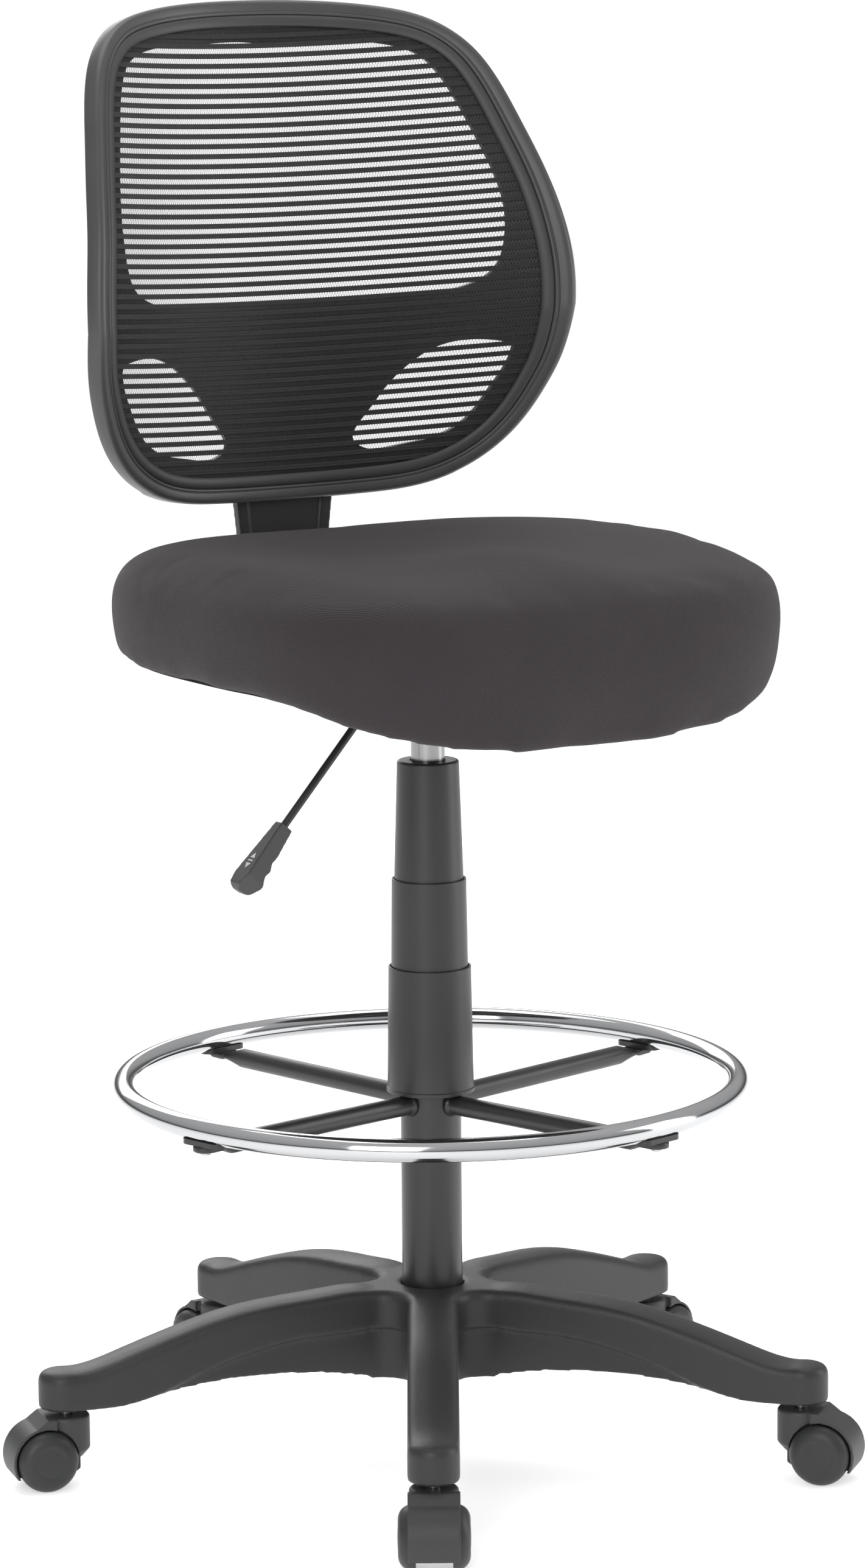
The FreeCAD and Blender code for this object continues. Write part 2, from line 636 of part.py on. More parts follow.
def seat_pan():
    plan = prism_of(plan_wire(PAN_INSET, 560), 200)
    board = plan.common(board_band(0, PAN_THICKNESS))
    recess_floor = PAN_BOTTOM + PAN_THICKNESS - NUT_FLANGE
    holes = [rod(NUT_BARREL, 600, 700, x, y) for x, y in ALL_NUTS]
    recess = [rod(NUT_FLANGE_RADIUS + 0.2, recess_floor, 700, x, y) for x, y in ALL_NUTS]
    return board.cut(holes + recess)


def seat_cushion():
    levels = [(26, 600), (6, 660), (0, 705), (10, 738), (34, 757), (70, CUSHION_TOP)]
    pad = Part.makeLoft([plan_wire(inset, z) for inset, z in levels], True, False)
    pad = pad.common(board_band(0.5, 200))
    pocket = prism_of(plan_wire(PAN_INSET - 0.3, 560), 200).common(board_band(-10, PAN_THICKNESS + 0.3))
    relief_top = PAN_BOTTOM + PAN_THICKNESS + 14
    relief = [rod(7.0, PAN_BOTTOM, relief_top, x, y) for x, y in ALL_NUTS]
    return pad.cut(pocket).cut(relief)


def t_nuts():
    nuts = []
    top = PAN_BOTTOM + PAN_THICKNESS
    for x, y in ALL_NUTS:
        barrel = rod(NUT_BARREL, PAN_BOTTOM, top, x, y)
        flange = rod(NUT_FLANGE_RADIUS, top - NUT_FLANGE, top, x, y)
        nuts.append(barrel.fuse(flange).cut(rod(BOLT_RADIUS, 600, 700, x, y)).removeSplitter())
    return group(nuts)


def hex_bolt(x, y, head_top, tip):
    """Flanged bolt from below: head under head_top, shank up to tip."""
    head = Part.Face(Part.makePolygon([polar(5.2, 60 * i) for i in range(7)])).extrude(V(0, 0, 4.0))
    head.translate(V(x, y, head_top - 5.0))
    washer = rod(7.5, head_top - 1.0, head_top, x, y)
    shank = rod(BOLT_RADIUS, head_top, tip, x, y)
    return head.fuse([washer, shank]).removeSplitter()


# ---------------------------------------------------------------- mechanism and lever
def edges_below(shape, height):
    return [edge for edge in shape.Edges if edge.BoundBox.ZMax < height]


def seat_mechanism():
    """Pressed steel tray with a bolting flange; open at the top."""
    outer = box((-TRAY_HALF_X, -TRAY_HALF_Y, TRAY_BOTTOM), (TRAY_HALF_X, TRAY_HALF_Y, PAN_BOTTOM))
    outer = outer.makeFillet(8.0, edges_below(outer, TRAY_BOTTOM + 0.1))
    inner = box((-TRAY_HALF_X + TRAY_WALL, -TRAY_HALF_Y + TRAY_WALL, TRAY_BOTTOM + TRAY_WALL),
                (TRAY_HALF_X - TRAY_WALL, TRAY_HALF_Y - TRAY_WALL, PAN_BOTTOM + 10))
    inner = inner.makeFillet(5.5, edges_below(inner, TRAY_BOTTOM + TRAY_WALL + 0.1))
    flange = box((-FLANGE_HALF_X, -TRAY_HALF_Y, PAN_BOTTOM - TRAY_WALL),
                 (FLANGE_HALF_X, TRAY_HALF_Y, PAN_BOTTOM))
    flange = flange.makeFillet(10.0, [e for e in flange.Edges if e.BoundBox.ZLength > TRAY_WALL - 0.1])
    tray = outer.fuse(flange).cut(inner)
    slot = box((-TRAY_HALF_X - 5, -5.5, 628), (-TRAY_HALF_X + 10, 5.5, 650))
    socket_hole = rod(SOCKET_RADIUS + 0.02, 590, 630)
    bolts = [rod(BOLT_RADIUS + 0.3, 650, 680, x, y) for x, y in PAN_BOLTS]
    return tray.cut([slot, socket_hole] + bolts).removeSplitter()


def taper_socket():
    gap = 0.02
    body = turned([(0, SOCKET_BOTTOM), (SOCKET_RADIUS, SOCKET_BOTTOM, 1.5), (SOCKET_RADIUS, 636), (0, 636)])
    slope = (CYLINDER_RADIUS - TAPER_TOP_RADIUS) / (CYLINDER_TOP - TAPER_START)

    def taper(z):
        return CYLINDER_RADIUS - slope * (z - TAPER_START) + gap

    low = SOCKET_BOTTOM - 1
    high = 640
    cone = Part.makeCone(taper(low), taper(high), high - low, V(0, 0, low))
    return body.cut(cone)


def lever_bracket():
    """Two ears and a pin that carry the lever inside the tray."""
    floor = TRAY_BOTTOM + TRAY_WALL
    pin = cross_rod(PIN_RADIUS, LEVER_PIVOT_X, LEVER_Z, -9.5, 9.5)
    ears = [box((LEVER_PIVOT_X - 6, y, floor), (LEVER_PIVOT_X + 5, y + 2, LEVER_Z + 6)) for y in (-8, 6)]
    ears = [ear.cut(rod(SOCKET_RADIUS + 0.3, 600, 640)) for ear in ears]
    return pin.fuse(ears).removeSplitter()


def lever_direction():
    dx = LEVER_END[0] - LEVER_BEND_X
    dz = LEVER_END[1] - LEVER_Z
    length = math.hypot(dx, dz)
    return V(dx / length, 0, dz / length)


def lever_rod():
    """Bent rod: level over the button, then down and outwards to the paddle."""
    bend = V(LEVER_BEND_X, 0, LEVER_Z)
    inner = V(0.8, 0, LEVER_Z)
    down = lever_direction()
    end = V(LEVER_END[0], 0, LEVER_END[1]) + down * 30
    turn = math.acos(-down.x)
    radius = 7.0
    reach = radius * math.tan(turn / 2)
    first = bend + V(reach, 0, 0)
    last = bend + down * reach
    middle_dir = (V(1, 0, 0) + down).normalize()
    middle = bend + middle_dir * (radius / math.cos(turn / 2) - radius)
    path = Part.Wire([line(inner, first), arc(first, middle, last),
                      line(last, end)])
    section = Part.Wire(Part.makeCircle(LEVER_RADIUS, inner, V(1, 0, 0)))
    body = path.makePipeShell([section], True, False)
    return body.cut(cross_rod(PIN_RADIUS + RUNNING_GAP, LEVER_PIVOT_X, LEVER_Z, -10, 10))


def lever_paddle():
    """Tapered grip: narrow where the rod enters, wide at its end, scalloped below."""
    length = PADDLE_LENGTH
    side = [(-2, 6.0, 1.5), (length * 0.93, 7.5, 2), (length, 3.0, 3), (length * 0.98, -7.0, 5),
            (length * 0.80, -12.0, 5), (length * 0.66, -8.0, 3), (length * 0.56, -9.8, 3),
            (length * 0.47, -7.0, 3), (length * 0.36, -8.2, 3), (-2, -6.5, 1.5)]
    plan = [(-2, 5.0, 1), (length * 0.78, 10.5, 8), (length, 6.5, 6), (length, -6.5, 6),
            (length * 0.78, -10.5, 8), (-2, -5.0, 1)]
    reach = 15.0
    side_slab = Part.Face(rounded_wire(side, lambda a, b: V(a, -reach, -b))).extrude(V(0, 2 * reach, 0))
    plan_slab = Part.Face(rounded_wire(plan, lambda a, b: V(a, b, -reach))).extrude(V(0, 0, 2 * reach))
    grip = side_slab.common(plan_slab)
    grip = grip.cut(Part.makeCylinder(LEVER_RADIUS, 35, V(-5, 0, 0), V(1, 0, 0)))
    down = lever_direction()
    tilt = math.degrees(math.atan2(-down.z, down.x))
    grip.rotate(ORIGIN, V(0, 1, 0), tilt)
    grip.translate(V(LEVER_END[0], 0, LEVER_END[1]))
    return grip


# ---------------------------------------------------------------- back
def interpolated(z):
    points = list(zip(BACK_POINTS_Z, BACK_POINTS_Y))
    for (z0, y0), (z1, y1) in zip(points, points[1:]):
        if z0 <= z <= z1:
            return y0 + (y1 - y0) * (z - z0) / (z1 - z0)
    raise ValueError("height outside the back")


def wing_curve(z):
    share = min(max((WING_HIGH_Z - z) / (WING_HIGH_Z - WING_LOW_Z), 0.0), 1.0)
    return WING_CURVE + (WING_CURVE_LOW - WING_CURVE) * share


def back_slab(front, back):
    """Sheet that follows the back's curved front surface, between two offsets along Y."""
    half = 250.0
    rows = []
    for i in range(len(BACK_POINTS_Z)):
        z = BACK_POINTS_Z[i]
        row = []
        for j in range(11):
            x = -half + j * half / 5
            row.append(V(x, interpolated(z) - wing_curve(z) * x * x + front, z))
        rows.append(row)
    surface = Part.BSplineSurface()
    surface.interpolate(rows)
    return surface.toShape().extrude(V(0, back - front, 0))


def full_outline(half):
    """Close a half outline, listed from the top to the bottom, by its mirror image."""
    mirrored = [(-x, z) for x, z in reversed(half[1:-1])]
    return half + mirrored


def back_prism(points, inset=0.0):
    """Prism along Y of a smooth closed outline in (x, z), drawn in by inset."""
    curve = Part.BSplineCurve()
    curve.interpolate([V(x, 0, z) for x, z in points], PeriodicFlag=True)
    if inset > 0:
        drawn = []
        count = 72
        for i in range(count):
            u = curve.FirstParameter + (curve.LastParameter - curve.FirstParameter) * i / count
            place = curve.value(u)
            along = V(*curve.tangent(u)[0])
            inward = along.cross(V(0, 1, 0))
            centre = V(0, 0, 980) - place
            if inward.dot(centre) < 0:
                inward = inward * -1
            drawn.append(place + inward * inset)
        curve = Part.BSplineCurve()
        curve.interpolate(drawn, PeriodicFlag=True)
    face = Part.Face(Part.Wire(curve.toShape()))
    return face.extrude(V(0, 400, 0))


def back_nodes():
    outline = full_outline(OUTLINE_HALF)
    outer = back_prism(outline)
    inner = back_prism(outline, RIM_WIDTH)
    bead_inner = back_prism(outline, RIM_WIDTH + BEAD_WIDTH)
    lip_inner = back_prism(outline, RIM_WIDTH + 7)
    mesh_edge = back_prism(outline, RIM_WIDTH + 1)
    mesh_back = MESH_FRONT + MESH_THICKNESS
    notch = box((-NOTCH_HALF_WIDTH, BRACKET_FRONT - NOTCH_GAP, 760), (NOTCH_HALF_WIDTH, 260, 820))
    rim = back_slab(0, RIM_DEPTH).common(outer).cut(inner).cut(notch)
    bead = back_slab(0, MESH_FRONT).common(inner).cut(bead_inner)
    mesh = back_slab(MESH_FRONT, mesh_back).common(mesh_edge)
    shell = back_slab(SHELL_FRONT, SHELL_BACK).common(inner)
    lip = back_slab(mesh_back, SHELL_FRONT + 1).common(inner).cut(lip_inner)
    pad_block = box((-44, 200, 796), (44, BRACKET_FRONT, 866))
    pad = back_slab(SHELL_FRONT + 1, 60).common(pad_block)
    shell = shell.fuse([lip, pad])
    windows = [back_prism(full_outline(TOP_WINDOW_HALF)), back_prism(LOW_WINDOW),
               back_prism([(-x, z) for x, z in LOW_WINDOW])]
    pilot = BRACKET_FRONT - 3.5
    screws = [cross_rod(2.6, x, z, pilot, pilot + 14) for x, z in BRACKET_BACK_BOLTS]
    behind = box((-60, BRACKET_FRONT, 780), (60, 260, 880))
    shell = shell.cut(windows).cut(screws + [behind])
    return {"back_rim": rim, "mesh_bead": bead, "mesh_panel": mesh, "back_shell": shell.removeSplitter()}


def back_bracket():
    """Flat bar from under the seat, bent up behind it to the back shell."""
    front = BRACKET_FRONT
    rear = front + BRACKET_THICKNESS
    top = PAN_BOTTOM
    bottom = top - BRACKET_THICKNESS
    bend = 22.0
    profile = [(100, bottom), (rear, bottom, bend + BRACKET_THICKNESS), (rear, BRACKET_TOP),
               (front, BRACKET_TOP), (front, top, bend), (100, top)]
    bar = cross_prism(profile, BRACKET_HALF_TOP)
    high = BRACKET_HALF_TOP
    low = BRACKET_HALF_LOW
    shape = [(-high, BRACKET_TOP, 8), (high, BRACKET_TOP, 8), (high, 796), (low, 715), (low, 640),
             (-low, 640), (-low, 715), (-high, 796)]
    face = Part.Face(rounded_wire(shape, lambda a, b: V(a, 50, b)))
    bar = bar.common(face.extrude(V(0, 250, 0)))
    pocket = [(-30, 712, 5), (30, 712, 5), (37, 788, 5), (-37, 788, 5)]
    pocket_face = Part.Face(rounded_wire(pocket, lambda a, b: V(a, front - 1, b)))
    bar = bar.cut(pocket_face.extrude(V(0, 2.6, 0)))
    holes = [rod(BOLT_RADIUS + 0.3, 640, 690, x, y) for x, y in BRACKET_BOLTS]
    holes += [cross_rod(2.9, x, z, front - 2, rear + 2) for x, z in BRACKET_BACK_BOLTS]
    return bar.cut(holes).removeSplitter()


def bracket_screw(x, z):
    """Button-head screw from behind through the bracket into the shell's pad."""
    rear = BRACKET_FRONT + BRACKET_THICKNESS
    head = turned([(0, 0), (5.5, 0), (5.5, 3.2, 2.2), (0, 3.2)])
    recess = Part.Face(Part.makePolygon([polar(2.0, 60 * i) for i in range(7)])).extrude(V(0, 0, 3))
    recess.translate(V(0, 0, 1.4))
    screw = head.cut(recess).fuse(rod(2.5, -BRACKET_THICKNESS - 3, 0))
    screw.rotate(ORIGIN, V(1, 0, 0), -90)
    screw.translate(V(x, rear, z))
    return screw.removeSplitter()


# ---------------------------------------------------------------- all nodes
def build_nodes():
    nodes = {"base_star": base_star()}
    nodes.update(casters())
    nodes["column_tube"] = column_tube()
    nodes["guide_bushing"] = guide_bushing()
    nodes["thrust_bearing"] = thrust_bearing()
    nodes["piston_rod"] = piston_rod()
    nodes["retaining_clip"] = retaining_clip()
    nodes["gas_cylinder"] = gas_cylinder()
    nodes["release_button"] = release_button()
    for name in SLEEVES:
        nodes[name] = sleeve(name)
    nodes["foot_ring"] = foot_ring()
    for i, spoke in enumerate(around_spokes(ring_spoke())):
        nodes[f"foot_ring_spoke_{i + 1}"] = spoke
    nodes["ring_saddles"] = group(around_spokes(ring_saddle()))
    nodes["ring_screws"] = group(around_spokes(ring_screw()))
    nodes["seat_mechanism"] = seat_mechanism()
    nodes["taper_socket"] = taper_socket()
    nodes["lever_bracket"] = lever_bracket()
    nodes["lever_rod"] = lever_rod()
    nodes["lever_paddle"] = lever_paddle()
    nodes["seat_pan"] = seat_pan()
    nodes["seat_cushion"] = seat_cushion()
    nodes["t_nuts"] = t_nuts()
    flange_bottom = PAN_BOTTOM - TRAY_WALL
    nodes["mechanism_bolts"] = group([hex_bolt(x, y, flange_bottom, PAN_BOTTOM + 9) for x, y in PAN_BOLTS])
    bar_bottom = PAN_BOTTOM - BRACKET_THICKNESS
    nodes["bracket_bolts"] = group([hex_bolt(x, y, bar_bottom, PAN_BOTTOM + 9) for x, y in BRACKET_BOLTS])
    nodes.update(back_nodes())
    nodes["back_bracket"] = back_bracket()
    nodes["back_screws"] = group([bracket_screw(x, z) for x, z in BRACKET_BACK_BOLTS])
    return nodes


def main():
    os.makedirs("parts", exist_ok=True)
    for name, shape in build_nodes().items():
        volumes = [solid.Volume for solid in shape.Solids]
        sound = shape.isValid() and volumes and min(volumes) > 0
        state = "ok" if sound else "BAD"
        print(f"{name:24s} solids {len(volumes):2d} volume {sum(volumes) / 1000:9.2f} cm3 {state}")
        shape.exportStep(f"parts/{name}.step")


main()
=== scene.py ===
"""Looks of the drafting chair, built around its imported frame.

Frame: metres, +Z up, origin on the floor on the column axis, the chair faces -Y.
The camera, the lights and what is written with MM are in metres; the other lengths in the tables below
are in millimetres.
"""

import json
import math

import bmesh
import bpy
import numpy as np
from mathutils import Matrix, Vector


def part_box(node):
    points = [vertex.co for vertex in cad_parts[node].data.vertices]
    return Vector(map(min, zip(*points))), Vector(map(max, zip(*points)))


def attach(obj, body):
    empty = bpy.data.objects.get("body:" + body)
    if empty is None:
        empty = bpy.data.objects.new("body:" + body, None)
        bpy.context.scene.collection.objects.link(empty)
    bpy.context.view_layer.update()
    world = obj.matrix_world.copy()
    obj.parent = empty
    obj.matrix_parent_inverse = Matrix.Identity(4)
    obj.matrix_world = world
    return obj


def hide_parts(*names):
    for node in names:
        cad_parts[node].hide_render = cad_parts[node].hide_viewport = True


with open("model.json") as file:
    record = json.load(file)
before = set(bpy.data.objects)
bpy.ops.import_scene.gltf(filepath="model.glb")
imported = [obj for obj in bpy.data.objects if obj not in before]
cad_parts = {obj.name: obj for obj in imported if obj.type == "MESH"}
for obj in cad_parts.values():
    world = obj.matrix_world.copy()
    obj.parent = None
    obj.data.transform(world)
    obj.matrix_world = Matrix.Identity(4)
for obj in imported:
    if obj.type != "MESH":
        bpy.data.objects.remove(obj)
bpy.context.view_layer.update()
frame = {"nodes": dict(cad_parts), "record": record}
cad = frame["nodes"]
MM = 0.001
UP = Vector((0, 0, 1))
TURN = 2 * math.pi
CORNERS = [(-1, -1), (1, -1), (1, 1), (-1, 1)]
BOX_FACES = [(0, 3, 2, 1), (4, 5, 6, 7), (0, 1, 5, 4), (1, 2, 6, 5), (2, 3, 7, 6), (3, 0, 4, 7)]

# ---- camera ----
CAMERA_AZIMUTH = math.radians(-31.5)
CAMERA_PITCH = math.radians(9.4)
CAMERA_ROLL = math.radians(-0.5)
CAMERA_DISTANCE = 4.4487
CAMERA_ASIDE = 0.00485
CAMERA_HEIGHT = 1.2961
CAMERA_LENS = 126.7
FLOOR_HALF = 90.0
FLOOR_GLOW = 0.50

# ---- light: name, place, aim, size, power ----
SOFT_BOXES = [
    ("key_light", (-2.6, -2.4, 1.9), (0, 0, 0.6), (1.6, 2.6), 54),
    ("fill_light", (3.0, -1.6, 1.4), (0, 0, 0.5), (1.4, 2.6), 40),
    ("top_light", (0.2, 0.6, 3.4), (0, 0, 0.5), (2.4, 2.4), 40),
    ("back_light", (0.8, 3.2, 1.9), (0, 0, 0.7), (2.2, 1.8), 36),
]
ROOM_LEVELS = [(0.0, 0.22), (1.0, 0.70), (0.07, 0.08), (0.24, 0.48)]    # height in the room, grey level

# ---- plastics: level, roughness, grain and its depth in mm, warmth, strength of the painted edge highlight, specular ----
GRAINED_PLASTICS = {
    "base_nylon": (0.026, 0.46, 1.0, 0.10, 0.0, 0.35, 0.4),
    "hood_nylon": (0.040, 0.48, 0.6, 0.035, -0.02, 0.3, 0.4),
    "wheel_nylon": (0.028, 0.45, 0.6, 0.02, -0.02, 0.2, 0.4),
    "sleeve_plastic": (0.023, 0.40, 0.8, 0.02, 0.0, 0.9, 0.5),
    "back_plastic": (0.050, 0.40, 0.5, 0.03, 0.0, 0.2, 0.5),
    "bead_plastic": (0.036, 0.48, 0.5, 0.02, 0.0, 0.1, 0.5),
    "shell_plastic": (0.022, 0.52, 0.9, 0.06, 0.0, 0.2, 0.5),
    "paddle_plastic": (0.048, 0.45, 0.5, 0.03, 0.0, 0.2, 0.5),
    "bracket_steel": (0.018, 0.47, 0.8, 0.05, 0.0, 0.6, 0.5),
    "white_nylon": (0.62, 0.45, 0.8, 0.03, 0.03, 0.0, 0.5),
}
# ---- steels: level, roughness; for bare ones also the stretch of the tool lines and the warmth ----
COATED_STEELS = {
    "black_steel": (0.016, 0.38),
    "spoke_paint": (0.016, 0.40),
    "black_screws": (0.014, 0.34),
}
BARE_STEELS = {
    "bright_steel": (0.62, 0.22),
    "cylinder_steel": (0.34, 0.22, (1, 1, 0.05)),
    "zinc_screws": (0.58, 0.34, (1, 1, 1), 0.02),
}

# ---- back, in mm: the front surface is y0(z) - curve(z) * x squared ----
SURFACE_Z = [755, 800, 841, 883, 924, 966, 1006, 1047, 1087, 1128, 1150, 1210]
SURFACE_Y = [217, 217, 217, 216.5, 216, 216.5, 220, 230, 243, 257, 264, 284]
WING_CURVE = 0.0018
WING_CURVE_LOW = 0.0013
WING_LOW_Z = 790.0
WING_HIGH_Z = 930.0
RIM_WIDTH = 13.0
RIM_DEPTH = 15.0
BEAD_WIDTH = 10.0
BEAD_HOLD = 0.3                  # how far the bead sits in the rim
NOTCH_HALF_WIDTH = 50 * MM       # the rim is thinned here to clear the bracket
NOTCH_TOP = 820 * MM
NOTCH_FRONT = 227.5 * MM
MESH_OFFSET = 3.6
OUTLINE_HALF = [
    (0, 1191), (60, 1189.5), (110, 1184.5), (150, 1173), (177, 1150), (189, 1128), (202, 1087),
    (212.5, 1047), (220, 1006), (224.8, 966), (224.8, 924), (218.5, 883), (211, 862), (201, 841),
    (186.5, 820), (163, 799), (128, 782.5), (70, 774.5), (0, 773),
]
RIM_CORNER = 4.6
RIM_GROOVE = [                   # inward and depth across the groove beside the bead
    (8.8, -0.15), (9.5, 0.1), (9.8, 0.75), (10.2, 0.85), (10.6, 0.2), (11.2, -0.1), (12.3, 0.15),
    (12.9, 0.9),
]
RIB_PITCH = 8.2
RIB_WIDTH = 4.3
RIB_BOW = 0.00025
RIB_EDGE = RIB_WIDTH / 2
RIB_SHOULDER = RIB_EDGE - 0.3
RIB_SECTION = [                  # height and depth round one double rib
    (-RIB_EDGE, 0.0), (-RIB_SHOULDER, -0.45), (-1.1, -0.8), (-0.35, -0.5), (0.0, -0.3), (0.35, -0.5),
    (1.1, -0.8), (RIB_SHOULDER, -0.45), (RIB_EDGE, 0.0), (0.0, 0.35),
]
THREAD_PERIOD = 2.3
THREAD_WIDTH = 0.27
THREAD_SECTION = [(-0.5, 0.0), (0.0, -0.16), (0.5, 0.0), (0.0, 0.16)]    # share of the width, depth
THREAD_HOLD = 0.3                # how far the threads run into the ribs

# ---- seat ----
seat_low, seat_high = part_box("seat_cushion")
pan_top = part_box("seat_pan")[1].z
SEAT_HALF_WIDTH = (seat_high.x - seat_low.x) / 2
SEAT_HALF_DEPTH = (seat_high.y - seat_low.y) / 2
SEAT_CENTRE_Y = (seat_high.y + seat_low.y) / 2
SEAT_POWER = 3.0
PAN_INSET = 34 * MM
PAN_THICKNESS = 12 * MM
PAN_BOTTOM = pan_top - PAN_THICKNESS
POCKET_PLAY = 0.5 * MM           # room between the board and the cushion's pocket
COVER_EDGE = 1 * MM              # height of the cover's lower edge above the board's underside
SEAT_SIDE = [                    # up the side and over the top: inset in mm, share of the height
    (30, -0.01), (21, -0.02), (13, -0.01), (7, 0.05), (3, 0.22), (0, 0.42), (1, 0.58), (5, 0.72),
    (12, 0.82), (22, 0.895), (36, 0.95), (54, 0.985), (78, 1.0), (110, 1.0), (150, 1.0), (190, 1.0),
]
# Dishing of the top: height in mm, then centre across and along, width and depth, in half sizes of the
# seat. One that is off the middle is there on both sides.
SEAT_DISHING = [
    (-19, 0, 0.30, 0.55, 0.42),          # hollow behind
    (-9, 0.42, -0.40, 0.26, 0.46),       # thigh channels
    (8, 0, -0.48, 0.17, 0.38),           # low ridge between them
    (2, 0.82, 0.05, 0.16, 0.6),          # raised sides
]
# Scales in mm: the top falls by 0.59 of FRONT_FALL at the front edge, and at its corners by about 0.1 of
# CORNER_FALL more. FRONT_SAG is the underside's own.
FRONT_FALL = 26.0
FRONT_SAG = 11.0
CORNER_FALL = 150.0
GATHERS = [(13, 1.0, 1.3), (23, 0.6, 0.4), (47, 0.3, 2.1)]     # count round the seat, height, phase
GATHER_DEPTH = 0.7 * MM
GATHER_HEIGHT = 4                # their middle and their spread above the board's underside, in mm
GATHER_SPREAD = 13
GATHER_START = 0.19              # they fade in over GATHER_BLEND from this distance off the middle
GATHER_BLEND = 0.03
RELIEF_START = 735 * MM          # height where the dishing sets in, full after RELIEF_BLEND
RELIEF_BLEND = 25 * MM
SWELL = 3.0 * MM                 # the most that the cover moves as it is blown up
SHRINK = 5.0 * MM                # how much smaller the cushion starts out
SWELL_START = 16 * MM            # above the board's underside, full after SWELL_BLEND
SWELL_BLEND = 24 * MM
CUSHION_VOXEL = 5 * MM
CLOTH = {
    "quality": 6, "mass": 0.3, "tension_stiffness": 18, "compression_stiffness": 18,
    "shear_stiffness": 8, "bending_stiffness": 0.6, "use_pressure": True, "uniform_pressure_force": 4.0,
}
CLOTH_STEPS = 20
HEM_THICKNESS = 1.4 * MM
HEM_EDGE = 58 * MM               # inset of the hem's hand-cut edge
HEM_WAVES = [(11, 1.6, 0), (27, 1.1, 1), (61, 0.6, 2)]         # the same columns as GATHERS
STAPLES = 44
STAPLE_INSET = 50 * MM
STAPLE_HALF = (5.5 * MM, 0.45 * MM, 0.4 * MM)
FRONT_DROP_START = -100 * MM     # y where the board starts to curve down, and the curve's radius
FRONT_DROP_RADIUS = 313 * MM

# ---- lever, in mm in the plane y = 0 ----
LEVER_END = (-137.5, 537.0)      # where the rod enters the grip
LEVER_DOWN = (-0.66497, -0.74687)    # unit vector along the grip, away from the seat
GRIP_TOP = 6.05                  # the grip's top above the rod's axis at its start
GRIP_RISE = 0.0243               # and how much higher it gets per mm
ICON_SHAPES = [                  # points as distance down the grip and y
    [(30, 0), (35, -3.4), (35, 3.4)],
    [(37, -3.4), (38.2, -3.4), (38.2, 3.4), (37, 3.4)],
    [(45.2, 0), (40.2, 3.4), (40.2, -3.4)],
]
ICON_DEPTHS = (-0.4, 0.12)       # the icon's lower and upper face against the grip's surface


# ---------------------------------------------------------------- camera, light and floor
def make_camera():
    right = Vector((math.cos(CAMERA_AZIMUTH), math.sin(CAMERA_AZIMUTH), 0))
    back = Vector((math.sin(CAMERA_AZIMUTH), -math.cos(CAMERA_AZIMUTH), 0))
    data = bpy.data.cameras.new("camera")
    data.lens = CAMERA_LENS
    data.sensor_width = 36
    data.clip_end = 300
    camera = bpy.data.objects.new("camera", data)
    bpy.context.scene.collection.objects.link(camera)
    outward = back * math.cos(CAMERA_PITCH) + UP * math.sin(CAMERA_PITCH)
    upward = outward.cross(right)
    turn = Matrix((right, upward, outward)).transposed().to_4x4()
    place = right * CAMERA_ASIDE + back * CAMERA_DISTANCE + UP * CAMERA_HEIGHT
    camera.matrix_world = Matrix.Translation(place) @ turn @ Matrix.Rotation(CAMERA_ROLL, 4, "Z")
    bpy.context.scene.camera = camera


def soft_box(name, place, aim, size, power):
    data = bpy.data.lights.new(name, "AREA")
    data.shape = "RECTANGLE"
    data.size, data.size_y = size
    data.energy = power
    light = bpy.data.objects.new(name, data)
    light.location = place
    light.rotation_euler = (Vector(aim) - Vector(place)).to_track_quat("-Z", "Y").to_euler()
    bpy.context.scene.collection.objects.link(light)


def make_lights():
    """Soft boxes in a grey room; the camera itself sees a white one."""
    for box in SOFT_BOXES:
        soft_box(*box)
    world = bpy.data.worlds.new("studio")
    bpy.context.scene.world = world
    world.use_nodes = True
    tree = world.node_tree
    tree.nodes.clear()
    coords = tree.nodes.new("ShaderNodeTexCoord")
    split = tree.nodes.new("ShaderNodeSeparateXYZ")
    ramp = tree.nodes.new("ShaderNodeValToRGB")
    path = tree.nodes.new("ShaderNodeLightPath")
    mix = tree.nodes.new("ShaderNodeMixRGB")
    sky = tree.nodes.new("ShaderNodeBackground")
    out = tree.nodes.new("ShaderNodeOutputWorld")
    stops = ramp.color_ramp.elements
    for i, (position, level) in enumerate(ROOM_LEVELS):
        stop = stops[i] if i < 2 else stops.new(position)
        stop.position = position
        stop.color = (level, level, level, 1)
    mix.inputs["Color2"].default_value = (1, 1, 1, 1)
    tree.links.new(coords.outputs["Generated"], split.inputs[0])
    tree.links.new(split.outputs["Z"], ramp.inputs[0])
    tree.links.new(ramp.outputs["Color"], mix.inputs["Color1"])
    tree.links.new(path.outputs["Is Camera Ray"], mix.inputs["Fac"])
    tree.links.new(mix.outputs["Color"], sky.inputs["Color"])
    tree.links.new(sky.outputs["Background"], out.inputs["Surface"])


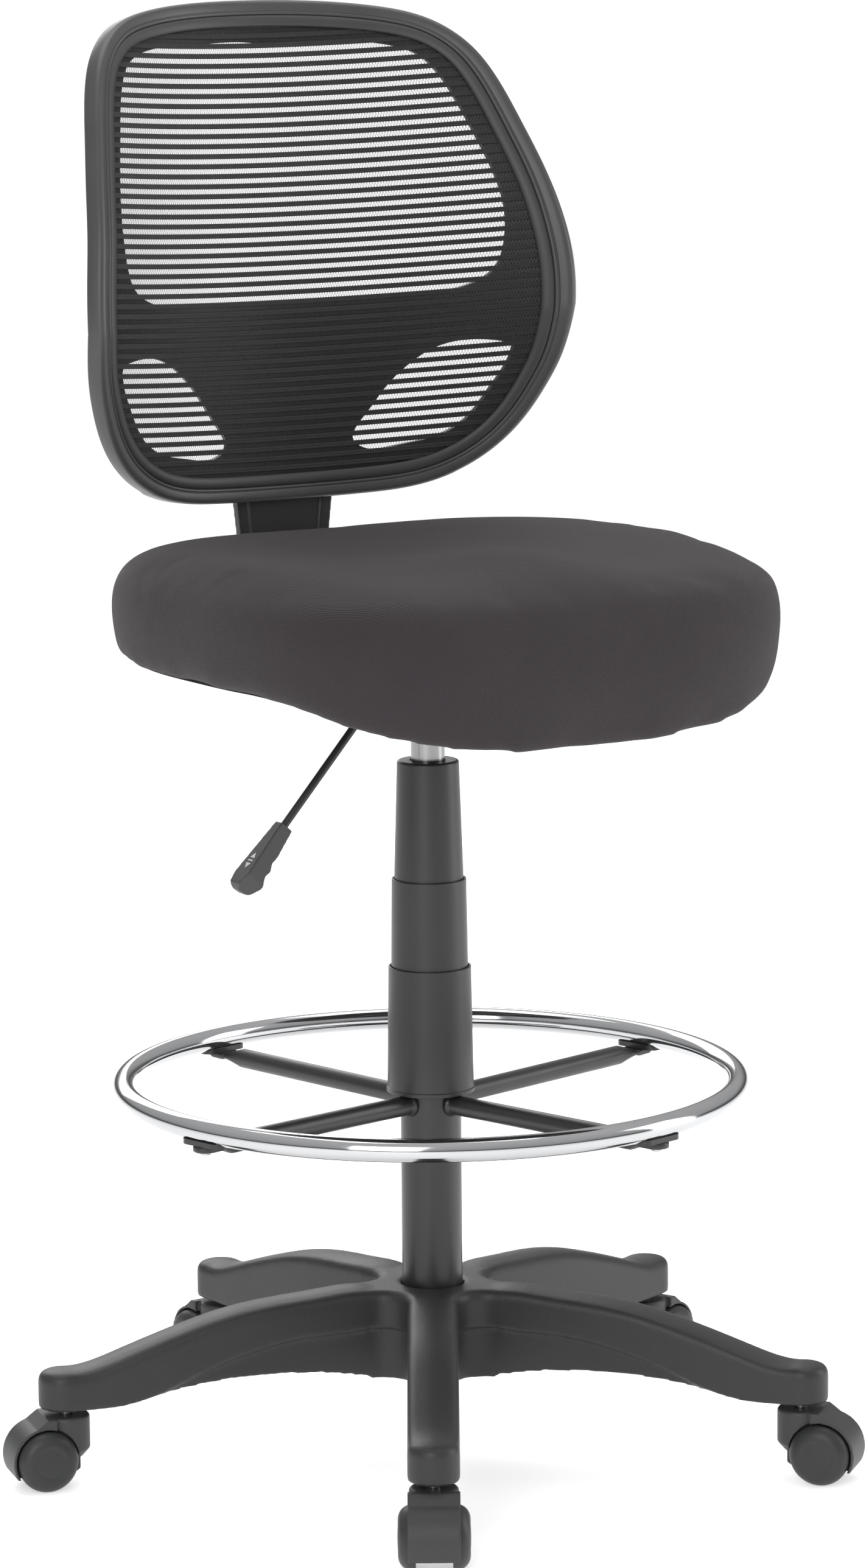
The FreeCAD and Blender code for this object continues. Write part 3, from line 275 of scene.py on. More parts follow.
# ---------------------------------------------------------------- materials
class Surface:
    """A material under construction: small calls add nodes to its tree."""

    def __init__(self, name, metallic=0.0, coat=0.0, sheen=0.0, specular=0.5):
        self.material = bpy.data.materials.new(name)
        self.material.use_nodes = True
        self.tree = self.material.node_tree
        self.shader = self.tree.nodes["Principled BSDF"]
        self.shader.inputs["Metallic"].default_value = metallic
        self.shader.inputs["Coat Weight"].default_value = coat
        self.shader.inputs["Coat Roughness"].default_value = 0.25
        self.shader.inputs["Sheen Weight"].default_value = sheen
        self.shader.inputs["Sheen Roughness"].default_value = 0.5
        self.shader.inputs["Specular IOR Level"].default_value = specular
        self.place = self.add("ShaderNodeTexCoord").outputs["Object"]

    def add(self, kind, **settings):
        node = self.tree.nodes.new(kind)
        for name, value in settings.items():
            setattr(node, name, value)
        return node

    def feed(self, socket, value):
        if isinstance(value, bpy.types.NodeSocket):
            self.tree.links.new(value, socket)
        else:
            socket.default_value = value

    def math(self, operation, a, b=0.0):
        node = self.add("ShaderNodeMath", operation=operation)
        self.feed(node.inputs[0], a)
        self.feed(node.inputs[1], b)
        return node.outputs[0]

    def noise(self, size, detail=2.0, stretch=(1, 1, 1)):
        """Noise from 0 to 1 whose features are about size metres across."""
        scaled = self.add("ShaderNodeMapping")
        scaled.inputs["Scale"].default_value = stretch
        self.feed(scaled.inputs["Vector"], self.place)
        node = self.add("ShaderNodeTexNoise")
        self.feed(node.inputs["Vector"], scaled.outputs[0])
        node.inputs["Scale"].default_value = 1 / size
        node.inputs["Detail"].default_value = detail
        return node.outputs["Fac"]

    def cells(self, size, feature="F1"):
        node = self.add("ShaderNodeTexVoronoi", feature=feature)
        self.feed(node.inputs["Vector"], self.place)
        node.inputs["Scale"].default_value = 1 / size
        return node.outputs["Distance"]

    def spread(self, value, low, high, start=0.0, end=1.0):
        """Maps value from start..end to low..high."""
        node = self.add("ShaderNodeMapRange")
        self.feed(node.inputs["Value"], value)
        node.inputs["From Min"].default_value = start
        node.inputs["From Max"].default_value = end
        node.inputs["To Min"].default_value = low
        node.inputs["To Max"].default_value = high
        return node.outputs[0]

    def blend(self, factor, first, second):
        node = self.add("ShaderNodeMix", data_type="RGBA")
        self.feed(node.inputs[0], factor)
        self.feed(node.inputs[6], (*first, 1) if isinstance(first, tuple) else first)
        self.feed(node.inputs[7], (*second, 1) if isinstance(second, tuple) else second)
        return node.outputs[2]

    def sharp_edges(self):
        """0 on flats, rising to 1 on sharp outer edges."""
        geometry = self.add("ShaderNodeNewGeometry")
        return self.spread(geometry.outputs["Pointiness"], 0.0, 1.0, 0.53, 0.62)

    def soft_edges(self, radius=0.5 * MM):
        """Normal that rounds hard edges by the radius."""
        node = self.add("ShaderNodeBevel", samples=4)
        node.inputs["Radius"].default_value = radius
        return node.outputs[0]

    def bump(self, height, depth, after=None):
        node = self.add("ShaderNodeBump")
        node.inputs["Distance"].default_value = depth
        self.feed(node.inputs["Height"], height)
        if after is not None:
            self.feed(node.inputs["Normal"], after)
        return node.outputs[0]

    def finish(self, colour, roughness, normal=None):
        self.feed(self.shader.inputs["Base Color"], colour)
        self.feed(self.shader.inputs["Roughness"], roughness)
        if normal is not None:
            self.feed(self.shader.inputs["Normal"], normal)
        return self.material


def tint(level, warmth=0.0):
    """A near-neutral colour; warmth above 0 leans to red, below 0 to blue."""
    return (level * (1 + warmth), level, level * (1 - warmth))


def grained_plastic(name, level, roughness, grain, depth, warmth, highlight_strength, specular):
    """Moulded plastic: fine grain, cloudy gloss, outer edges made paler by a painted highlight."""
    s = Surface(name, specular=specular)
    grain, depth = grain * MM, depth * MM
    clouds = s.noise(45 * MM, 3)
    # painted highlight: patches of the sharp outer edges are lightened towards 2.2 times the level and
    # made glossier
    painted_highlight = s.math("MULTIPLY", s.sharp_edges(), s.spread(s.noise(9 * MM, 4), 0.0, highlight_strength, 0.35, 0.7))
    base = s.blend(clouds, tint(level * 0.86, warmth), tint(level * 1.14, warmth))
    colour = s.blend(painted_highlight, base, tint(level * 2.2, warmth))
    fine = s.noise(grain, 2)
    pebbles = s.cells(grain * 1.6, "SMOOTH_F1")
    relief = s.bump(pebbles, depth, s.bump(fine, depth * 0.6, s.soft_edges()))
    cloudy = s.spread(clouds, roughness - 0.05, roughness + 0.05)
    gloss = s.math("ADD", cloudy, s.math("MULTIPLY", painted_highlight, -0.1))
    return s.finish(colour, gloss, relief)


def coated_steel(name, level, roughness):
    """Powder-coated steel: soft orange peel and a few dull rubs."""
    s = Surface(name, coat=0.15)
    peel = s.noise(2.2 * MM, 1)
    rubs = s.noise(16 * MM, 5, (1, 1, 0.15))
    colour = s.blend(rubs, tint(level * 0.85), tint(level * 1.2))
    gloss = s.spread(rubs, roughness - 0.06, roughness + 0.10)
    return s.finish(colour, gloss, s.bump(peel, 0.05 * MM, s.soft_edges()))


def bare_steel(name, level, roughness, stretch=(1, 1, 1), warmth=0.0):
    """Turned or plated steel with fine tool lines along one axis."""
    s = Surface(name, metallic=1.0)
    lines = s.noise(0.7 * MM, 3, stretch)
    clouds = s.noise(22 * MM, 3)
    colour = s.blend(clouds, tint(level * 0.92, warmth), tint(level, warmth))
    gloss = s.spread(lines, roughness * 0.8, roughness * 1.3)
    return s.finish(colour, gloss, s.bump(lines, 0.012 * MM, s.soft_edges(0.3 * MM)))


def chrome(name):
    s = Surface(name, metallic=1.0)
    clouds = s.noise(60 * MM, 3)
    specks = s.spread(s.noise(1.1 * MM, 2), 0.0, 0.05, 0.62, 0.8)
    colour = s.blend(clouds, (0.50, 0.51, 0.52), (0.57, 0.57, 0.58))
    gloss = s.math("ADD", s.spread(clouds, 0.07, 0.13), specks)
    return s.finish(colour, gloss, s.bump(clouds, 0.02 * MM))


def seat_cloth(name):
    """Stretch upholstery: diagonal twill on top, small honeycomb round the sides."""
    s = Surface(name, sheen=0.08, specular=0.2)
    split = s.add("ShaderNodeSeparateXYZ")
    s.feed(split.inputs[0], s.place)
    x, y, z = split.outputs
    facing = s.add("ShaderNodeSeparateXYZ")
    s.feed(facing.inputs[0], s.add("ShaderNodeNewGeometry").outputs["Normal"])
    flat = s.spread(s.math("ABSOLUTE", facing.outputs["Z"]), 0.0, 1.0, 0.55, 0.80)
    twill_rate = TURN / (2.5 * MM)
    along = s.math("SINE", s.math("MULTIPLY", s.math("ADD", x, y), twill_rate))
    across = s.math("SINE", s.math("MULTIPLY", s.math("SUBTRACT", x, y), 1.7 * twill_rate))
    twill = s.math("ADD", along, s.math("MULTIPLY", across, 0.45))
    angle = s.math("ARCTAN2", s.math("SUBTRACT", y, SEAT_CENTRE_Y), x)
    cells_round = s.math("SINE", s.math("MULTIPLY", angle, 780))
    cells_up = s.math("SINE", s.math("MULTIPLY", z, TURN / (2.0 * MM)))
    comb = s.math("MULTIPLY", s.math("MULTIPLY", cells_round, cells_up), 1.3)
    weave = s.add("ShaderNodeMix")
    s.feed(weave.inputs[0], flat)
    s.feed(weave.inputs[2], comb)
    s.feed(weave.inputs[3], twill)
    fuzz = s.noise(0.5 * MM, 3)
    clouds = s.noise(70 * MM, 4)
    thread = s.spread(weave.outputs[0], 0.0, 1.0, -1.4, 1.4)
    base = s.blend(thread, (0.0140, 0.0118, 0.0132), (0.0580, 0.0495, 0.0540))
    worn = s.blend(s.spread(clouds, 0.0, 0.35, 0.4, 0.75), base, (0.046, 0.039, 0.043))
    relief = s.bump(thread, 0.35 * MM, s.bump(fuzz, 0.10 * MM))
    return s.finish(worn, s.spread(fuzz, 0.80, 0.96), relief)


def mesh_cloth(name):
    """Knitted polyester rib: fine loops along the ribs with paler flecks."""
    s = Surface(name, sheen=0.08, specular=0.3)
    split = s.add("ShaderNodeSeparateXYZ")
    s.feed(split.inputs[0], s.place)
    x, _, z = split.outputs
    loops = s.math("SINE", s.math("MULTIPLY", x, TURN / (1.5 * MM)))
    rows = s.math("SINE", s.math("MULTIPLY", z, TURN / (1.4 * MM)))
    knit = s.math("MULTIPLY", loops, rows)
    patches = s.spread(s.noise(3 * MM, 2), 0.2, 1.0, 0.4, 0.65)
    flecks = s.math("MULTIPLY", s.spread(knit, 0.0, 1.0, 0.55, 1.0), patches)
    base = s.blend(s.noise(40 * MM, 3), (0.019, 0.018, 0.019), (0.028, 0.027, 0.028))
    colour = s.blend(flecks, base, (0.075, 0.072, 0.075))
    relief = s.bump(s.spread(knit, 0.0, 1.0, -1.0, 1.0), 0.20 * MM)
    return s.finish(colour, s.spread(loops, 0.62, 0.85, -1.0, 1.0), relief)


def dust_cloth(name):
    """Black non-woven cloth on the underside of the seat board."""
    s = Surface(name, sheen=0.1, specular=0.2)
    fibres = s.noise(0.8 * MM, 4, (1, 0.3, 1))
    dots = s.cells(1.6 * MM)
    colour = s.blend(fibres, (0.014, 0.014, 0.015), (0.034, 0.033, 0.034))
    relief = s.bump(dots, 0.15 * MM, s.bump(fibres, 0.12 * MM))
    return s.finish(colour, s.spread(fibres, 0.75, 0.95), relief)


def white_ink(name):
    s = Surface(name, specular=0.4)
    clouds = s.noise(2.5 * MM, 4)
    colour = s.blend(clouds, (0.55, 0.55, 0.55), (0.74, 0.74, 0.73))
    return s.finish(colour, s.spread(clouds, 0.42, 0.60))


def floor_paint(name):
    s = Surface(name, specular=0.2)
    clouds = s.noise(0.6, 3)
    colour = s.blend(clouds, (0.90, 0.90, 0.90), (0.93, 0.93, 0.93))
    s.shader.inputs["Emission Color"].default_value = (1, 1, 1, 1)
    s.shader.inputs["Emission Strength"].default_value = FLOOR_GLOW
    return s.finish(colour, s.spread(clouds, 0.55, 0.65))


def make_materials():
    materials = {name: grained_plastic(name, *values) for name, values in GRAINED_PLASTICS.items()}
    materials |= {name: coated_steel(name, *values) for name, values in COATED_STEELS.items()}
    materials |= {name: bare_steel(name, *values) for name, values in BARE_STEELS.items()}
    one_offs = {"chrome_ring": chrome, "seat_fabric": seat_cloth, "back_mesh": mesh_cloth,
                "seat_board": dust_cloth}
    return materials | {name: make(name) for name, make in one_offs.items()}


def paint(piece, material):
    piece.data.materials.clear()
    piece.data.materials.append(material)


def dress_cad_nodes(materials):
    """Every CAD node takes its own slot in the record and the material of that slot."""
    for part in frame["record"]["subparts"]:
        paint(cad[part["node"]], materials[part["material_slot"]])


# ---------------------------------------------------------------- mesh helpers
def new_piece(name, points, faces, smooth=True):
    data = bpy.data.meshes.new(name)
    data.from_pydata([tuple(p) for p in points], [], faces)
    data.update()
    tool = bmesh.new()
    tool.from_mesh(data)
    bmesh.ops.recalc_face_normals(tool, faces=tool.faces)
    tool.to_mesh(data)
    tool.free()
    data.polygons.foreach_set("use_smooth", [smooth] * len(data.polygons))
    piece = bpy.data.objects.new(name, data)
    bpy.context.scene.collection.objects.link(piece)
    return piece


def place_piece(piece, body, slot, material, *stands_for):
    paint(piece, material)
    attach(piece, body)
    if stands_for:
        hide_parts(*stands_for)
    return piece


def ring_faces(rows, columns, close_rows=False):
    """Quads between neighbouring points of a grid of closed columns, stored row by row."""
    faces = []
    for i in range(rows if close_rows else rows - 1):
        for j in range(columns):
            a = i * columns + j
            b = i * columns + (j + 1) % columns
            c = ((i + 1) % rows) * columns + (j + 1) % columns
            d = ((i + 1) % rows) * columns + j
            faces.append((a, b, c, d))
    return faces


def positions(piece):
    co = np.zeros(len(piece.data.vertices) * 3, np.float32)
    piece.data.vertices.foreach_get("co", co)
    return co.reshape(-1, 3).astype(float)


def set_positions(piece, co):
    piece.data.vertices.foreach_set("co", co.astype(np.float32).ravel())
    piece.data.update()


def apply_modifiers(piece):
    bpy.context.view_layer.update()
    shape = bpy.data.meshes.new_from_object(piece.evaluated_get(bpy.context.evaluated_depsgraph_get()))
    piece.modifiers.clear()
    piece.data = shape


def add_smoothing(piece, rounds):
    soften = piece.modifiers.new("soften", "SMOOTH")
    soften.factor = 0.5
    soften.iterations = rounds


def add_remesh(piece, voxel):
    remesh = piece.modifiers.new("remesh", "REMESH")
    remesh.mode = "VOXEL"
    remesh.voxel_size = voxel


def shade_smooth(piece):
    piece.data.polygons.foreach_set("use_smooth", [True] * len(piece.data.polygons))


def moulded(node, name, voxel, rounds):
    """Copy of a CAD node with the soft corners and fillets of a moulding."""
    piece = bpy.data.objects.new(name, cad[node].data.copy())
    bpy.context.scene.collection.objects.link(piece)
    tool = bmesh.new()
    tool.from_mesh(piece.data)
    bmesh.ops.remove_doubles(tool, verts=tool.verts, dist=0.005 * MM)
    tool.to_mesh(piece.data)
    tool.free()
    add_remesh(piece, voxel)
    add_smoothing(piece, rounds)
    apply_modifiers(piece)
    shade_smooth(piece)
    return piece


# ---------------------------------------------------------------- back
def surface_y(x, z):
    """Front surface of the back in mm at x and z in mm."""
    share = np.clip((WING_HIGH_Z - z) / (WING_HIGH_Z - WING_LOW_Z), 0.0, 1.0)
    curve = WING_CURVE + (WING_CURVE_LOW - WING_CURVE) * share
    return np.interp(z, SMOOTH_Z, SMOOTH_Y) - curve * x * x


def spline(xs, ys, steps):
    """Natural cubic through the points, sampled evenly in x."""
    xs = np.array(xs, float)
    ys = np.array(ys, float)
    count = len(xs)
    gap = np.diff(xs)
    system = np.eye(count)
    rhs = np.zeros(count)
    for i in range(1, count - 1):
        system[i, i - 1:i + 2] = gap[i - 1], 2 * (gap[i - 1] + gap[i]), gap[i]
        rhs[i] = 6 * ((ys[i + 1] - ys[i]) / gap[i] - (ys[i] - ys[i - 1]) / gap[i - 1])
    second = np.linalg.solve(system, rhs)
    at = np.linspace(xs[0], xs[-1], steps)
    i = np.clip(np.searchsorted(xs, at) - 1, 0, count - 2)
    right = xs[i + 1] - at
    left = at - xs[i]
    values = (second[i] * right ** 3 + second[i + 1] * left ** 3) / (6 * gap[i])
    values += (ys[i] / gap[i] - second[i] * gap[i] / 6) * right
    values += (ys[i + 1] / gap[i] - second[i + 1] * gap[i] / 6) * left
    return at, values


SMOOTH_Z, SMOOTH_Y = spline(SURFACE_Z, SURFACE_Y, 200)


def closed_curve(points, count):
    """Smooth closed curve through the points, resampled evenly along its length."""
    loop = np.array(points + points[:3], float)
    loop = np.vstack([points[-3:], loop])
    steps = np.concatenate([[0], np.cumsum(np.linalg.norm(np.diff(loop, axis=0), axis=1))])
    _, xs = spline(steps, loop[:, 0], 4000)
    at, zs = spline(steps, loop[:, 1], 4000)
    keep = (at >= steps[3]) & (at < steps[3 + len(points)])
    fine = np.stack([xs[keep], zs[keep]], 1)
    fine = np.vstack([fine, fine[:1]])
    length = np.concatenate([[0], np.cumsum(np.linalg.norm(np.diff(fine, axis=0), axis=1))])
    even = np.linspace(0, length[-1], count, endpoint=False)
    return np.stack([np.interp(even, length, fine[:, 0]), np.interp(even, length, fine[:, 1])], 1)


def back_outline(count):
    mirrored = [(-x, z) for x, z in reversed(OUTLINE_HALF[1:-1])]
    return closed_curve(OUTLINE_HALF + mirrored, count)


def inward_of(outline):
    """Unit vectors in (x, z) that point into a clockwise-listed outline."""
    along = np.roll(outline, -1, 0) - np.roll(outline, 1, 0)
    along /= np.linalg.norm(along, axis=1)[:, None]
    inward = np.stack([along[:, 1], -along[:, 0]], 1)
    if (inward * (outline.mean(0) - outline)).sum() < 0:
        inward = -inward
    return inward


def surface_normal(x, z):
    """Unit normal of the back's front surface, pointing to the rear."""
    step = 1.0
    slope_x = (surface_y(x + step, z) - surface_y(x - step, z)) / (2 * step)
    slope_z = (surface_y(x, z + step) - surface_y(x, z - step)) / (2 * step)
    normal = np.stack([-slope_x, np.ones_like(slope_x), -slope_z], 1)
    return normal / np.linalg.norm(normal, axis=1)[:, None]


def sweep_round_back(name, profile, count=320):
    """Sweeps a closed profile of (inward, depth) points in mm round the back's outline."""
    outline = back_outline(count)
    inward = inward_of(outline)
    rows = []
    for across, depth in profile:
        line = outline + inward * across
        x, z = line[:, 0], line[:, 1]
        base = np.stack([x, surface_y(x, z), z], 1)
        rows.append(base + surface_normal(x, z) * depth)
    points = np.concatenate(rows) * MM
    return new_piece(name, points, ring_faces(len(profile), count, close_rows=True))


def arc_points(centre, radius, start, end, count):
    angles = np.radians(np.linspace(start, end, count))
    return [(centre[0] + radius * math.cos(a), centre[1] + radius * math.sin(a)) for a in angles]


def make_rim():
    """Moulded rim: rounded outer corner, fine groove beside the bead, flat rear."""
    profile = [(0.0, RIM_DEPTH - 1.5), (0.0, 8.0)]
    profile += arc_points((RIM_CORNER, RIM_CORNER), RIM_CORNER, 180, 270, 8)
    profile += RIM_GROOVE
    profile += [(RIM_WIDTH, 3.0), (RIM_WIDTH, RIM_DEPTH - 2.5), (RIM_WIDTH - 1.0, RIM_DEPTH - 0.6)]
    profile += [(RIM_WIDTH - 2.5, RIM_DEPTH), (2.0, RIM_DEPTH), (0.6, RIM_DEPTH - 0.5)]
    rim = sweep_round_back("back_rim_moulding", profile)
    co = positions(rim)
    notch = (np.abs(co[:, 0]) < NOTCH_HALF_WIDTH) & (co[:, 2] < NOTCH_TOP)
    co[notch, 1] = np.minimum(co[notch, 1], NOTCH_FRONT)
    set_positions(rim, co)
    return rim


def make_bead():
    """Round bead that clamps the mesh inside the rim."""
    start = RIM_WIDTH - BEAD_HOLD
    profile = []
    for angle in np.linspace(0, math.pi, 11):
        across = start + BEAD_WIDTH / 2 - BEAD_WIDTH / 2 * math.cos(angle)
        profile.append((across, 3.0 - 3.3 * math.sin(angle) ** 0.7))
    return sweep_round_back("mesh_bead_round", profile)


def rib_span(height, outline):
    """Left and right ends in mm of a rib at a height in mm, by crossing the outline."""
    hits = []
    for (x0, z0), (x1, z1) in zip(outline, np.roll(outline, -1, 0)):
        low = z0 - RIB_BOW * x0 * x0 - height
        high = z1 - RIB_BOW * x1 * x1 - height
        if (low < 0) != (high < 0):
            hits.append(x0 + (x1 - x0) * low / (low - high))
    return (min(hits), max(hits)) if len(hits) > 1 else None


def on_mesh(x, z, depth):
    """Points in metres at depth mm behind the front surface."""
    place = np.stack([x, surface_y(x, z), z], 1)
    return (place + surface_normal(x, z) * depth[:, None]) * MM


def add_strand(points, faces, rows):
    """Adds a closed strand to the lists; rows holds its section's lines, each along its length."""
    start = sum(len(p) for p in points)
    size = len(rows)
    count = len(rows[0])
    points.append(np.stack(rows, 1).reshape(-1, 3))
    faces += [tuple(start + k for k in face) for face in ring_faces(count, size)]
    faces.append(tuple(start + k for k in range(size)))
    faces.append(tuple(start + (count - 1) * size + k for k in reversed(range(size))))


def make_mesh_panel():
    """Ribbed knit: flat double ribs across the back, joined by zigzag threads."""
    outline = back_outline(400)
    outline = outline + inward_of(outline) * (RIM_WIDTH + 2)
    low = outline[:, 1].min()
    heights = np.arange(low + RIB_WIDTH, outline[:, 1].max() - RIB_WIDTH / 2, RIB_PITCH)
    spans = [rib_span(height, outline) for height in heights]
    points = []
    faces = []
    for height, span in zip(heights, spans):
        if span is None:
            continue
        count = max(int((span[1] - span[0]) / 6), 4)
        x = np.linspace(span[0], span[1], count)
        rows = []
        for up, depth in RIB_SECTION:
            z = height + RIB_BOW * x * x + up
            rows.append(on_mesh(x, z, np.full(count, MESH_OFFSET + depth)))
        add_strand(points, faces, rows)
    swing_low = RIB_EDGE - THREAD_HOLD
    swing_high = RIB_PITCH - RIB_EDGE + THREAD_HOLD
    for height, lower, upper in zip(heights, spans, spans[1:]):
        if lower is None or upper is None:
            continue
        left = max(lower[0], upper[0]) + 1
        right = min(lower[1], upper[1]) - 1
        count = int((right - left) / (THREAD_PERIOD / 2))
        x = np.linspace(left, right, count)
        swing = np.where(np.arange(count) % 2 == 0, swing_low, swing_high)
        rows = []
        for side, depth in THREAD_SECTION:
            z = height + RIB_BOW * x * x + swing
            rows.append(on_mesh(x + side * THREAD_WIDTH, z, np.full(count, MESH_OFFSET + depth)))
        add_strand(points, faces, rows)
    return new_piece("mesh_panel_knit", np.concatenate(points), faces)


# ---------------------------------------------------------------- seat
def board_underside(y):
    """Height in metres of the seat board's underside at y."""
    ahead = np.minimum(y - FRONT_DROP_START, 0.0)
    return PAN_BOTTOM - FRONT_DROP_RADIUS + np.sqrt(FRONT_DROP_RADIUS ** 2 - ahead ** 2)


def seat_plan(inset, count):
    """Superellipse plan of the seat, drawn in by inset metres."""
    t = np.linspace(0, TURN, count, endpoint=False)
    c, s = np.cos(t), np.sin(t)
    x = (SEAT_HALF_WIDTH - inset) * np.sign(c) * np.abs(c) ** (2 / SEAT_POWER)
    y = (SEAT_HALF_DEPTH - inset) * np.sign(s) * np.abs(s) ** (2 / SEAT_POWER)
    return x, SEAT_CENTRE_Y + y


def front_share(y):
    """0 over most of the seat, rising towards its front edge."""
    return np.clip((SEAT_CENTRE_Y - y) / SEAT_HALF_DEPTH - 0.3, 0, 1) ** 1.5


def seat_relief(x, y):
    """Dishing of the seat's top in metres at x and y in metres."""
    u = x / SEAT_HALF_WIDTH
    v = (y - SEAT_CENTRE_Y) / SEAT_HALF_DEPTH
    relief = 0
    for height, across, along, width, depth in SEAT_DISHING:
        centres = (-across, across) if across else (0,)
        bowls = [np.exp(-((u - c) / width) ** 2 - ((v - along) / depth) ** 2) for c in centres]
        relief = relief + height * sum(bowls)
    relief -= FRONT_FALL * front_share(y)
    relief -= CORNER_FALL * np.clip(np.abs(u) - 0.55, 0, 1) ** 1.5 * np.clip(-v - 0.1, 0, 1)
    return relief * MM


def seat_form():
    """Closed starting shape of the cushion, slightly small, with the board's pocket below."""
    count = 160
    pocket_top = PAN_THICKNESS + POCKET_PLAY
    pocket_x, pocket_y = seat_plan(PAN_INSET - POCKET_PLAY, count)
    rings = []
    for share in (0.25, 0.6, 0.85, 1.0):
        x, y = pocket_x * share, SEAT_CENTRE_Y + (pocket_y - SEAT_CENTRE_Y) * share
        rings.append(np.stack([x, y, board_underside(y) + pocket_top], 1))
    rings.append(np.stack([pocket_x, pocket_y, board_underside(pocket_y) + COVER_EDGE], 1))
    pocket_rings = len(rings)
    for inset, share in SEAT_SIDE:
        x, y = seat_plan(inset * MM + SHRINK, count)
        bottom = board_underside(y) + COVER_EDGE
        top = seat_high.z - SHRINK
        sag = FRONT_SAG * MM * front_share(y) * max(0.0, 1 - 2 * abs(share))
        rings.append(np.stack([x, y, bottom + (top - bottom) * share - sag], 1))
    for ring in rings[pocket_rings:]:
        rise = np.clip((ring[:, 2] - RELIEF_START) / RELIEF_BLEND, 0, 1)
        ring[:, 2] += seat_relief(ring[:, 0], ring[:, 1]) * rise
    points = np.concatenate(rings)
    faces = ring_faces(len(rings), count)
    y0 = np.array([SEAT_CENTRE_Y])
    low_pole = (rings[-1][:, 0].mean(), SEAT_CENTRE_Y, float(board_underside(y0)[0] + pocket_top))
    high_pole = (0, SEAT_CENTRE_Y, float(seat_high.z - SHRINK + seat_relief(np.zeros(1), y0)[0]))
    points = np.vstack([points, low_pole, high_pole])
    last = (len(rings) - 1) * count
    for j in range(count):
        faces.append((len(points) - 2, (j + 1) % count, j))
        faces.append((len(points) - 1, last + j, last + (j + 1) % count))
    return new_piece("seat_cushion_cover", points, faces)


def inflate(piece):
    """Cloth simulation under inner pressure; no point moves more than swell_limit allows."""
    rest = positions(piece)
    cloth = piece.modifiers.new("cloth", "CLOTH")
    for name, value in CLOTH.items():
        setattr(cloth.settings, name, value)
    cloth.settings.effector_weights.gravity = 0
    cloth.collision_settings.use_collision = False
    scene = bpy.context.scene
    for step in range(1, CLOTH_STEPS + 1):
        scene.frame_set(step)
    apply_modifiers(piece)
    scene.frame_set(1)
    moved = positions(piece) - rest
    length = np.linalg.norm(moved, axis=1)
    limit = swell_limit(rest)
    scale = np.where(length > limit, limit / np.maximum(length, 1e-9), 1.0)
    set_positions(piece, rest + moved * scale[:, None])


def swell_limit(rest):
    """How far each point may swell: nothing in the pocket, most on the sides and top."""
    above = rest[:, 2] - board_underside(rest[:, 1])
    return SWELL * np.clip((above - SWELL_START) / SWELL_BLEND, 0, 1)


def waves(turn, parts):
    """Sum of waves round the seat; parts holds the count, height and phase of each."""
    return sum(height * np.sin(count * turn + phase) for count, height, phase in parts)


def pucker(piece):
    """Shallow gathers where the cover turns under the board's edge."""
    co = positions(piece)
    above = (co[:, 2] - board_underside(co[:, 1])) / MM
    angle = np.arctan2(co[:, 1] - SEAT_CENTRE_Y, co[:, 0])
    fade = np.exp(-((above - GATHER_HEIGHT) / GATHER_SPREAD) ** 2)
    outward = np.stack([co[:, 0], co[:, 1] - SEAT_CENTRE_Y], 1)
    radius = np.linalg.norm(outward, axis=1)
    outside = np.clip((radius - GATHER_START) / GATHER_BLEND, 0, 1)
    outward /= np.maximum(radius, 1e-6)[:, None]
    push = GATHER_DEPTH * waves(angle, GATHERS) * fade * outside
    co[:, :2] += outward * push[:, None]
    co[:, 2] -= 0.6 * push
    set_positions(piece, co)


def make_cushion():
    """Padded cushion, swollen by the cloth simulation."""
    piece = seat_form()
    add_remesh(piece, CUSHION_VOXEL)
    add_smoothing(piece, rounds=4)
    apply_modifiers(piece)
    inflate(piece)
    add_smoothing(piece, rounds=8)
    apply_modifiers(piece)
    pucker(piece)
    fine = piece.modifiers.new("fine", "SUBSURF")
    fine.levels = 1
    fine.render_levels = 1
    apply_modifiers(piece)
    shade_smooth(piece)
    return piece


def make_hem():
    """Cover cloth folded under the board, with a hand-cut inner edge."""
    count = 240
    turn = np.linspace(0, TURN, count, endpoint=False)
    edge = HEM_EDGE + waves(turn, HEM_WAVES) * MM
    lines = [(26 * MM, 0.1 * MM), (25 * MM, HEM_THICKNESS), (edge, HEM_THICKNESS), (edge, 0.1 * MM)]
    rows = []
    for inset, drop in lines:
        x, y = seat_plan(inset, count)
        rows.append(np.stack([x, y, board_underside(y) - drop], 1))
    points = np.concatenate(rows)
    return new_piece("seat_hem", points, ring_faces(len(rows), count, close_rows=True), smooth=False)


def make_staples():
    """Wire staples that hold the hem, one after another round the board."""
    steps = 720
    half_length, half_width, half_height = STAPLE_HALF
    x, y = seat_plan(STAPLE_INSET, steps)
    points = []
    faces = []
    for i in range(STAPLES):
        k = int(steps * (i + 0.5) / STAPLES)
        after = (k + 1) % steps
        centre = np.array([x[k], y[k], board_underside(y[k:k + 1])[0] - HEM_THICKNESS - 0.3 * MM])
        heading = math.atan2(y[after] - y[k], x[after] - x[k]) + 0.12 * math.sin(5.0 * i)
        along = np.array([math.cos(heading), math.sin(heading), 0])
        across = np.array([-along[1], along[0], 0])
        start = len(points)
        for up in (-1, 1):
            for u, v in CORNERS:
                corner = centre + along * u * half_length + across * v * half_width
                points.append(corner + np.array([0, 0, up * half_height]))
        faces += [tuple(start + k for k in face) for face in BOX_FACES]
    return new_piece("hem_staples", points, faces, smooth=False)


